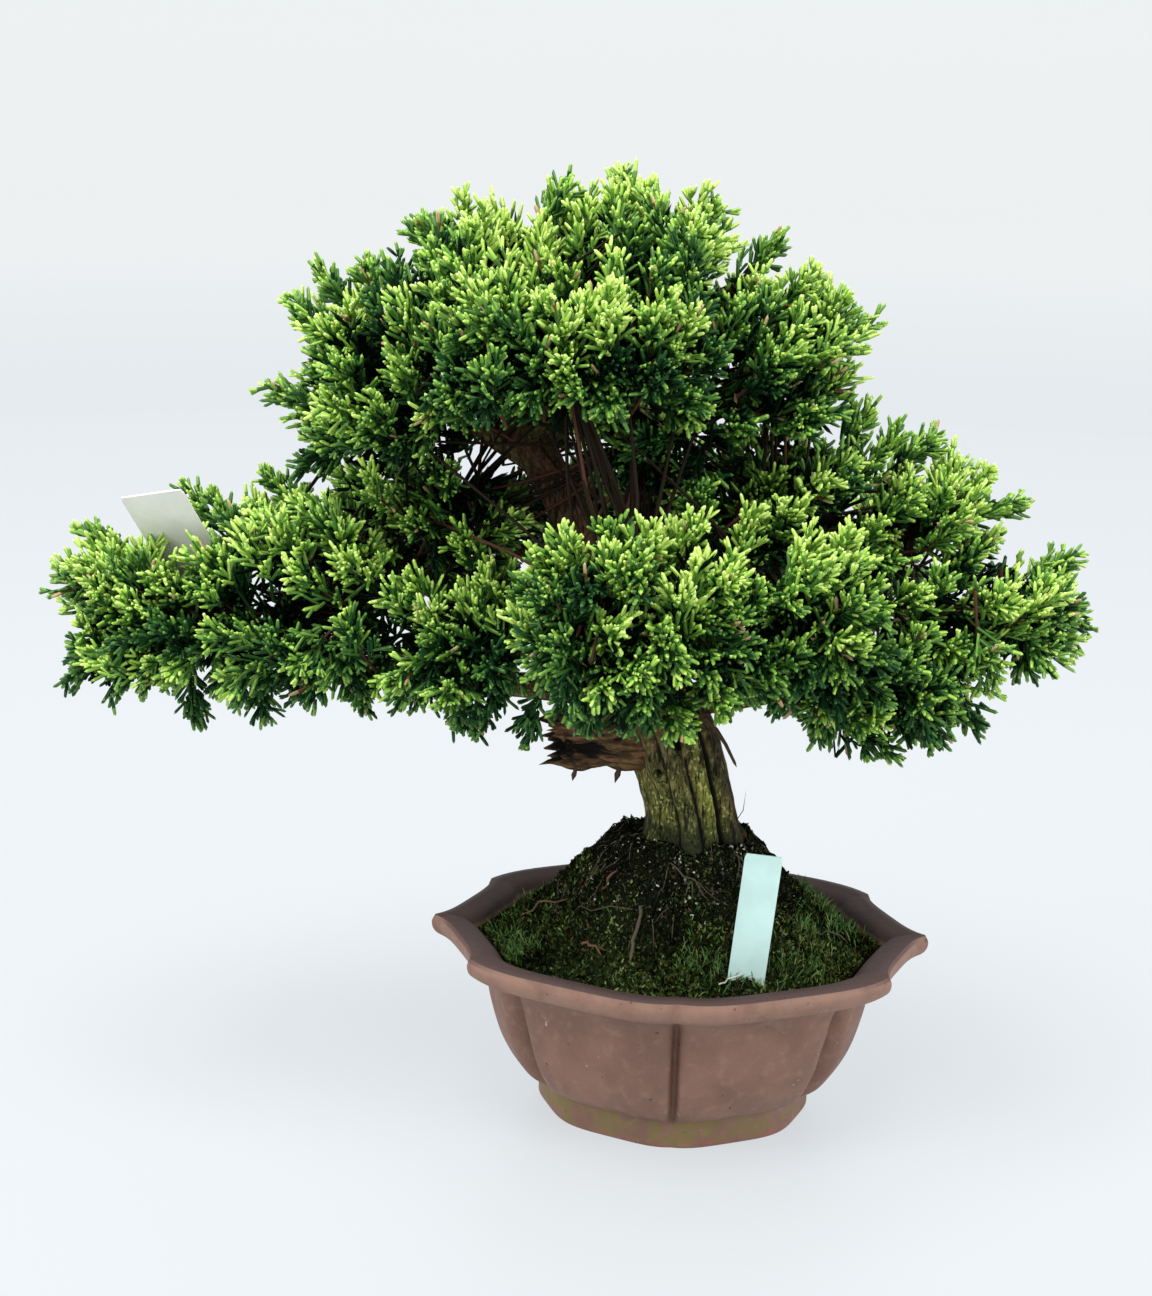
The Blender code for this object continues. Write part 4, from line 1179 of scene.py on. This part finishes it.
def growSpray(shoots, plain, foot, tip, glow, chance):
    # one flat spray: forked shoots to both sides of an axis, shorter towards its tip
    along = tip - foot
    ahead = along.normalized()
    across = Vector([chance.gauss(0, 1) for _ in range(3)])
    across = ahead.cross(across).normalized()
    normal = across.cross(ahead)
    rise = Vector((0, 0, 1 - abs(ahead.z)))
    curl = (rise * chance.uniform(0.0, 0.28) + across * chance.gauss(0, 0.14)) * along.length
    count = max(3, round(along.length / crown["shootStep"]))
    for number in range(count):
        t = 0.10 + 0.86 * (number + 0.5) / count
        side = 1 if number % 2 else -1
        start = foot + along * t + curl * t**2
        angle = math.radians(chance.uniform(*crown["shootAngle"]))
        roll = chance.gauss(0, 0.45)
        aside = across * math.cos(roll) * side + normal * math.sin(roll)
        way = (ahead * math.cos(angle) + aside * math.sin(angle)).normalized()
        size = chance.uniform(*crown["shootLength"]) * (1.10 - 0.42 * t)
        bend = ahead * chance.uniform(0.0, 0.25) + Vector((0, 0, chance.uniform(0, 0.12)))
        radius = chance.uniform(*crown["shootRadius"])
        # painted light: shoots further out along a spray are paler
        shine = glow * (0.72 + 0.34 * t)
        shoots.add(start, way, bend, size, radius, tonesFor(shine, chance))
        if chance.random() < crown["forks"]:
            turn = aside * chance.uniform(0.45, 0.9) * chance.choice((-1, 1))
            fork, root = (way + turn).normalized(), start + way * size * 0.45
            plain.add(root, fork, bend, size * 0.55, radius * 0.92, tonesFor(shine, chance))
    long, end = chance.uniform(0.005, 0.0085), foot + along + curl - ahead * 0.004
    shoots.add(end, ahead, curl * 6, long, radius, tonesFor(glow * 1.10, chance))


def growTuft(shoots, plain, twigs, root, tip, glow, spread, chance):
    # one tuft: sprays set round a short axis, wider at its foot, palest at its tip
    along = tip - root
    ahead = along.normalized()
    turn = Vector((0, 0, 1)).rotation_difference(ahead).to_matrix()
    bow = turn @ Vector((chance.gauss(0, 0.10), chance.gauss(0, 0.10), 0)) * along.length
    half, end = root + along * 0.5 + bow, tip - along * 0.12
    twigs.strand([(root, 0.0009), (half, 0.0007), (end, 0.0004)], 4, chance.choice((0, 2, 2)))
    turned = chance.random() * math.tau
    for number in range(crown["sprays"]):
        t = 0.26 + 0.66 * number / (crown["sprays"] - 1)
        start = root + along * t + bow * (1 - (2 * t - 1) ** 2)
        angle = math.radians(chance.uniform(*crown["sprayAngle"])) * spread
        angle *= 1.15 - 0.75 * t
        spin = turned + number * goldenAngle + chance.uniform(-0.3, 0.3)
        flat = math.sin(angle)
        way = turn @ Vector((flat * math.cos(spin), flat * math.sin(spin), math.cos(angle)))
        size = chance.uniform(*crown["sprayLength"]) * (1.10 - 0.45 * t)
        first = plain if number < 4 else shoots
        # painted shade: sprays near the tuft's foot are darker, those near its tip paler
        growSpray(first, plain, start, start + way * size, glow * (0.50 + 0.56 * t), chance)
    growSpray(shoots, plain, root + along * 0.72, tip, glow * 1.06, chance)


def growFiller(fillers, foot, way, chance):
    # older shoots inside the crown, long and plain, in the darkest tones as painted shade
    for number in range(crown["fillers"]):
        start = foot - way * crown["fillerDepth"][1] * number / crown["fillers"]
        turned = (way + Vector([chance.gauss(0, 0.75) for _ in range(3)])).normalized()
        # painted shade: only the darkest leaf tones inside the crown
        shade = chance.choice((0, 0, 1, 1, 2))
        length = chance.uniform(0.008, 0.015)
        fillers.add(start, turned, Vector((0, 0, 0.1)), length, 0.0010, (0, 0, shade))


def planTufts():
    # places spread over the crown's shared skin, each with its mass and its way out
    chance = random.Random(3)
    names, spots = [], []
    for name, space in spaces.items():
        for direction in evenDirections(crown["starts"], chance):
            names.append(name)
            spots.append(space.middle + direction * space.reach(direction))
    spots = np.array(spots)
    shown = crownLevels(spots) > crown["buried"]
    names, spots = np.array(names)[shown], spots[shown]
    normals = skinNormals(spots)
    spots = spots + normals * skinDistances(spots, normals)[:, None]
    normals = skinNormals(spots)
    kept = []
    for number in chance.sample(range(len(spots)), len(spots)):
        spot = spots[number]
        gaps = spots[kept] - spot if kept else np.ones((1, 3))
        spacing = crown["spacing"][int(spot[1] > 0.02)]
        if (gaps**2).sum(axis=1).min() > spacing**2:
            kept.append(number)
    kept.sort()
    return [(names[i], Vector(spots[i]), Vector(normals[i])) for i in kept]


def inWindow(points):
    kept = np.zeros(len(points), dtype=bool)
    for middle, half in crown["windows"]:
        kept |= (np.abs((points - np.array(middle)) / np.array(half)) < 1).all(axis=1)
    return kept


def beforeTag(point):
    # keeps the upper part of the white tag in sight
    eye, top = Vector(labels["sight"]), Vector(labels["tagTop"])
    face = tagAcross.cross(tagDown)
    way = point - eye
    share = (top - eye).dot(face) / way.dot(face)
    offset = eye + way * share - top
    down, aside = offset.dot(tagDown), offset.dot(tagAcross)
    near = share > 0.97 and abs(aside) < 0.021
    return near and -0.006 < down < 0.019 + 0.8 * max(0, aside)


def growCrown():
    twigs, fillers = Tufts(), Shoots()
    grown = {name: Shoots() for name in masses}
    plain = {name: Shoots() for name in masses}
    plan = planTufts()
    chance = random.Random(8)
    shut = inWindow(np.array([spot for _, spot, _ in plan]))
    for (name, spot, normal), closed in zip(plan, shut):
        middle = spaces[name].middle
        outward = (spot - Vector(crown["heart"])).normalized()
        lift = crown["lift"] * (1 if normal.z > -0.2 else 0.25)
        stray = Vector([chance.gauss(0, crown["stray"]) for _ in range(3)])
        way = (normal * 0.75 + outward * 0.45 + Vector((0, 0, lift)) + stray).normalized()
        if way.dot(normal) < 0.35:
            way = (way + normal * 0.5).normalized()
        length, pull = chance.uniform(*crown["tuftLength"]), chance.uniform(*crown["pull"])
        # painted light: tufts that face up are paler, and tufts set deeper (pull) are darker as painted
        # shade
        tip = spot - normal * (crown["inset"] + pull)
        glow = crown["glow"] + crown["glowRise"] * normal.z
        glow += chance.gauss(0, crown["glowSpread"])
        glow -= pull * 9
        growFiller(fillers, spot - normal * crown["fillerDepth"][0], normal, chance)
        if closed or beforeTag(tip):
            continue
        root = tip - way * length
        bare = middle.lerp(root, 0.5) + stray * 0.008
        end = root + way * 0.006
        path = [(middle, 0.0009), (bare, 0.0008), (root, 0.0006), (end, 0.0005)]
        # the inner twigs mostly take the darker brown, as painted shade
        twigs.strand(path, 4, chance.choice((0, 1, 1, 1, 1, 1, 1, 1)))
        growTuft(grown[name], plain[name], twigs, root, tip, glow, 1.0, chance)
    for foot, tip in crown["sprigs"]:
        foot, tip = Vector(foot), Vector(tip)
        name = min(spaces, key=lambda each: spaces[each].levels(np.array([foot]))[0])
        way = (tip - foot).normalized()
        # painted shade: hanging sprigs get the lower glow
        glow = crown["glow"] if way.z > 0 else crown["glowUnder"]
        root = foot - way * crown["sprigInset"][0]
        tip = tip - way * crown["sprigInset"][1]
        growTuft(grown[name], plain[name], twigs, root, tip, glow, crown["sprigSpread"], chance)
    print("planned", len(plan), "tufts")
    joinShoots("shoots", grown, [(0.0, 0.72), (0.55, 1.0), (0.90, 0.80)])
    joinShoots("plain_shoots", plain, [(0.0, 0.80), (0.85, 0.90)])
    made = fillers.piece("shaded_shoots", [(0.0, 0.9), (0.7, 1.0)])
    print("grown", made.name, len(fillers.rows), "shoots")
    for space in spaces.values():  # the stem of each mass
        middle = space.middle
        if space.carrier == "trunk":  # from the nearest place on it
            centres = [Vector(row[:3]) for row in trunkLine]
            start = min(centres, key=lambda centre: (centre - middle).length)
        else:
            start = Vector(boughs[space.carrier][1])
        half, end = start.lerp(middle, 0.5), middle + (middle - start) * 0.15
        # stems in the darker brown, as painted shade inside the crown
        twigs.strand([(start, 0.0024), (half, 0.0021), (middle, 0.0017), (end, 0.001)], 7, 1)
    made = twigs.piece("crown_twigs", woodLooks, "bark")
    print("grown", made.name, len(made.data.polygons), "faces")


def joinShoots(kind, grown, rings):
    # whole masses joined into pieces of fewer than 200,000 triangles
    most = 199000 // (6 * len(rings) - 3)
    groups = [[]]
    for name, shoots in grown.items():
        if sum(len(grown[each].rows) for each in groups[-1]) + len(shoots.rows) > most:
            groups.append([])
        groups[-1].append(name)
    for number, names in enumerate(groups):
        group = Shoots()
        for name in names:
            group.rows += grown[name].rows
            group.tones += grown[name].tones
        made = group.piece(f"{kind}_{number + 1}", rings)
        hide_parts(*names)
        print("grown", made.name, len(group.rows), "shoots")


labels = {
    "plantSize": (0.0165, 0.0008, 0.0780),
    "plantFoot": (0.0285, -0.0550, 0.0720),
    "plantLean": 5,
    "corner": 0.0007,
    "tagSize": (0.030, 0.0008, 0.090),
    "tagTop": (-0.2365, -0.0330, 0.2970),
    "tagAcross": (0.965, -0.183, 0.190),
    "tagDown": (0.259, 0.521, -0.814),
    "sight": (-0.011, -0.794, 0.439),  # where the tag is seen from
    "mint": (0.555, 0.770, 0.725),
    "white": (0.800, 0.795, 0.740),
    "smear": (0.30, 0.30, 0.24),
}


def plateGrid(name, size, place, look, slot):
    # a thin strip with rounded corners
    wide, thick, tall = size
    corner = labels["corner"]
    columns, rows = 9, 40
    front, back = [], []
    for i in range(rows + 1):
        z = tall * i / rows
        edge = min(z, tall - z)
        pull = corner - math.sqrt(max(0, corner**2 - max(0, corner - edge) ** 2))
        for j in range(columns + 1):
            share = 2 * j / columns - 1
            x = share * (wide / 2 - pull)
            front.append(place @ Vector((x, -thick / 2, z)))
            back.append(place @ Vector((x, thick / 2, z)))
    count = len(front)
    quads = []
    for i in range(rows):
        for j in range(columns):
            a = i * (columns + 1) + j
            b = a + columns + 1
            quads.append((a, a + 1, b + 1, b))
            quads.append((a + count, b + count, b + 1 + count, a + 1 + count))
    rim = list(range(columns + 1)) + [(i + 1) * (columns + 1) - 1 for i in range(1, rows + 1)]
    rim += [rows * (columns + 1) + j for j in range(columns - 1, -1, -1)]
    rim += [i * (columns + 1) for i in range(rows - 1, 0, -1)]
    for a, b in zip(rim, rim[1:] + rim[:1]):
        quads.append((b, a, a + count, b + count))
    points = [tuple(point) for point in front + back]
    return meshPiece(name, points, [quads], [look], slot=slot, smooth=False)


def labelLook(name, colour):
    look = Look(name, Specular_IOR_Level=0.45)
    cloud = look.noise(55, 3)
    shaded = tuple(value * 0.88 for value in colour)
    smear = look.noise(500, 3, 0.6, stretch=(1, 1, 0.1)).between(0.62, 0.80) * 0.18
    clean = look.mix(cloud.between(0.3, 0.7), shaded, colour)
    look.join(look.mix(smear, clean, labels["smear"]), "Base Color")
    look.join(0.38 + 0.2 * cloud, "Roughness")
    look.bump(look.noise(1500, 2), 0.00008)
    return look.material


plantLean = Matrix.Rotation(math.radians(labels["plantLean"]), 4, "Y")
plantPlace = Matrix.Translation(labels["plantFoot"]) @ plantLean
mintLook = labelLook("mint_plastic", labels["mint"])
plantLabel = plateGrid("mint_label", labels["plantSize"], plantPlace, mintLook, "label")
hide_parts("plant_label")
tagDown = Vector(labels["tagDown"]).normalized()
tagAcross = Vector(labels["tagAcross"])
tagAcross = (tagAcross - tagDown * tagAcross.dot(tagDown)).normalized()
tagTurn = Matrix((tagAcross, (-tagDown).cross(tagAcross), -tagDown)).transposed().to_4x4()
tagPlace = Matrix.Translation(Vector(labels["tagTop"]) + tagDown * labels["tagSize"][2]) @ tagTurn
whiteLook = labelLook("white_plastic", labels["white"])
whiteTag = plateGrid("white_tag", labels["tagSize"], tagPlace, whiteLook, "tag")
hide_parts("price_tag")
print("labels set")
growCrown()


studio = {  # floor, light and camera
    "floor": (0.150, 0.154, 0.158),
    "floorLight": (0.815, 0.862, 0.898),
    "coveLight": (0.97, 1.0, 1.0),
    "floorGlow": 0.68,
    "sky": (0.86, 0.90, 0.95),
    "skyStrength": 0.89,
    "lamps": [  # name, place, target, size, power, colour
        ("overhead", (-0.2, -0.4, 1.9), (-0.05, 0, 0.25), 1.2, 33, (1.0, 0.99, 0.95)),
        ("left", (-1.7, -0.9, 1.1), (-0.10, 0, 0.24), 1.1, 21, (1.0, 1.0, 0.98)),
        ("right", (1.7, -0.8, 1.0), (0.05, 0, 0.24), 1.1, 19, (1.0, 1.0, 0.98)),
    ],
    "place": (-0.011, -0.794, 0.439),  # the camera's, with its turn in degrees
    "yaw": -2.94,
    "pitch": 15.03,
    "roll": 1.29,
    "lens": 50,
}


def addFloor():
    # a round cove, so that the ground runs on without an edge from every side
    profile = [(0.001, 0), (0.8, 0), (1.8, 0), (2.3, 0.03)]
    profile += [(2.7, 0.14), (3.0, 0.34), (3.2, 0.7), (3.25, 1.4)]
    sides = 96
    rows = []
    for radius, height in profile:
        turns = [math.tau * side / sides for side in range(sides)]
        ring = [(radius * math.cos(turn), radius * math.sin(turn), height) for turn in turns]
        rows.append(ring)
    look = Look("pale_floor", Roughness=0.5, Emission_Strength=studio["floorGlow"])
    rise = look.height().between(0.0, 0.30)
    look.join(look.mix(rise, studio["floorLight"], studio["coveLight"]), "Emission Color")
    cloud = look.noise(3, 2)
    shaded = [value * 0.98 for value in studio["floor"]]
    look.join(look.mix(cloud, studio["floor"], shaded), "Base Color")
    points = np.reshape(rows, (-1, 3))
    meshPiece("floor", points, [ringQuads(len(rows), sides)], [look.material])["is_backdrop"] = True


def addLight(name, place, target, size, power, colour):
    lamp = bpy.data.lights.new(name, "AREA")
    lamp.shape, lamp.size, lamp.energy, lamp.color = "DISK", size, power, colour
    made = bpy.data.objects.new(name, lamp)
    made.location = place
    made.rotation_mode = "QUATERNION"
    made.rotation_quaternion = (Vector(target) - Vector(place)).to_track_quat("-Z", "Y")
    bpy.context.scene.collection.objects.link(made)


def addCamera():
    yaw, pitch, roll = (math.radians(studio[key]) for key in ("yaw", "pitch", "roll"))
    ahead = Vector((math.sin(yaw) * math.cos(pitch), math.cos(yaw) * math.cos(pitch), -math.sin(pitch)))
    right = Vector((math.cos(yaw), -math.sin(yaw), 0))
    up = right.cross(ahead)
    turned = right * math.cos(roll) + up * math.sin(roll)
    risen = up * math.cos(roll) - right * math.sin(roll)
    data = bpy.data.cameras.new("camera")
    data.lens, data.sensor_width, data.sensor_fit = studio["lens"], 36, "AUTO"
    data.clip_start, data.clip_end = 0.01, 50
    camera = bpy.data.objects.new("camera", data)
    turn = Matrix((turned, risen, -ahead)).transposed().to_4x4()
    camera.matrix_world = Matrix.Translation(studio["place"]) @ turn
    bpy.context.scene.collection.objects.link(camera)
    bpy.context.scene.camera = camera


addFloor()
for lamp in studio["lamps"]:
    addLight(*lamp)
world = bpy.data.worlds.new("studio")
world.use_nodes = True
backdrop = world.node_tree.nodes["Background"]
backdrop.inputs["Color"].default_value = opaque(studio["sky"])
backdrop.inputs["Strength"].default_value = studio["skyStrength"]
bpy.context.scene.world = world
addCamera()
print("studio lit")

boxes = {"cad": cadBox, "visual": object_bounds()}
{name: [list(corner) for corner in box] for name, box in boxes.items()}
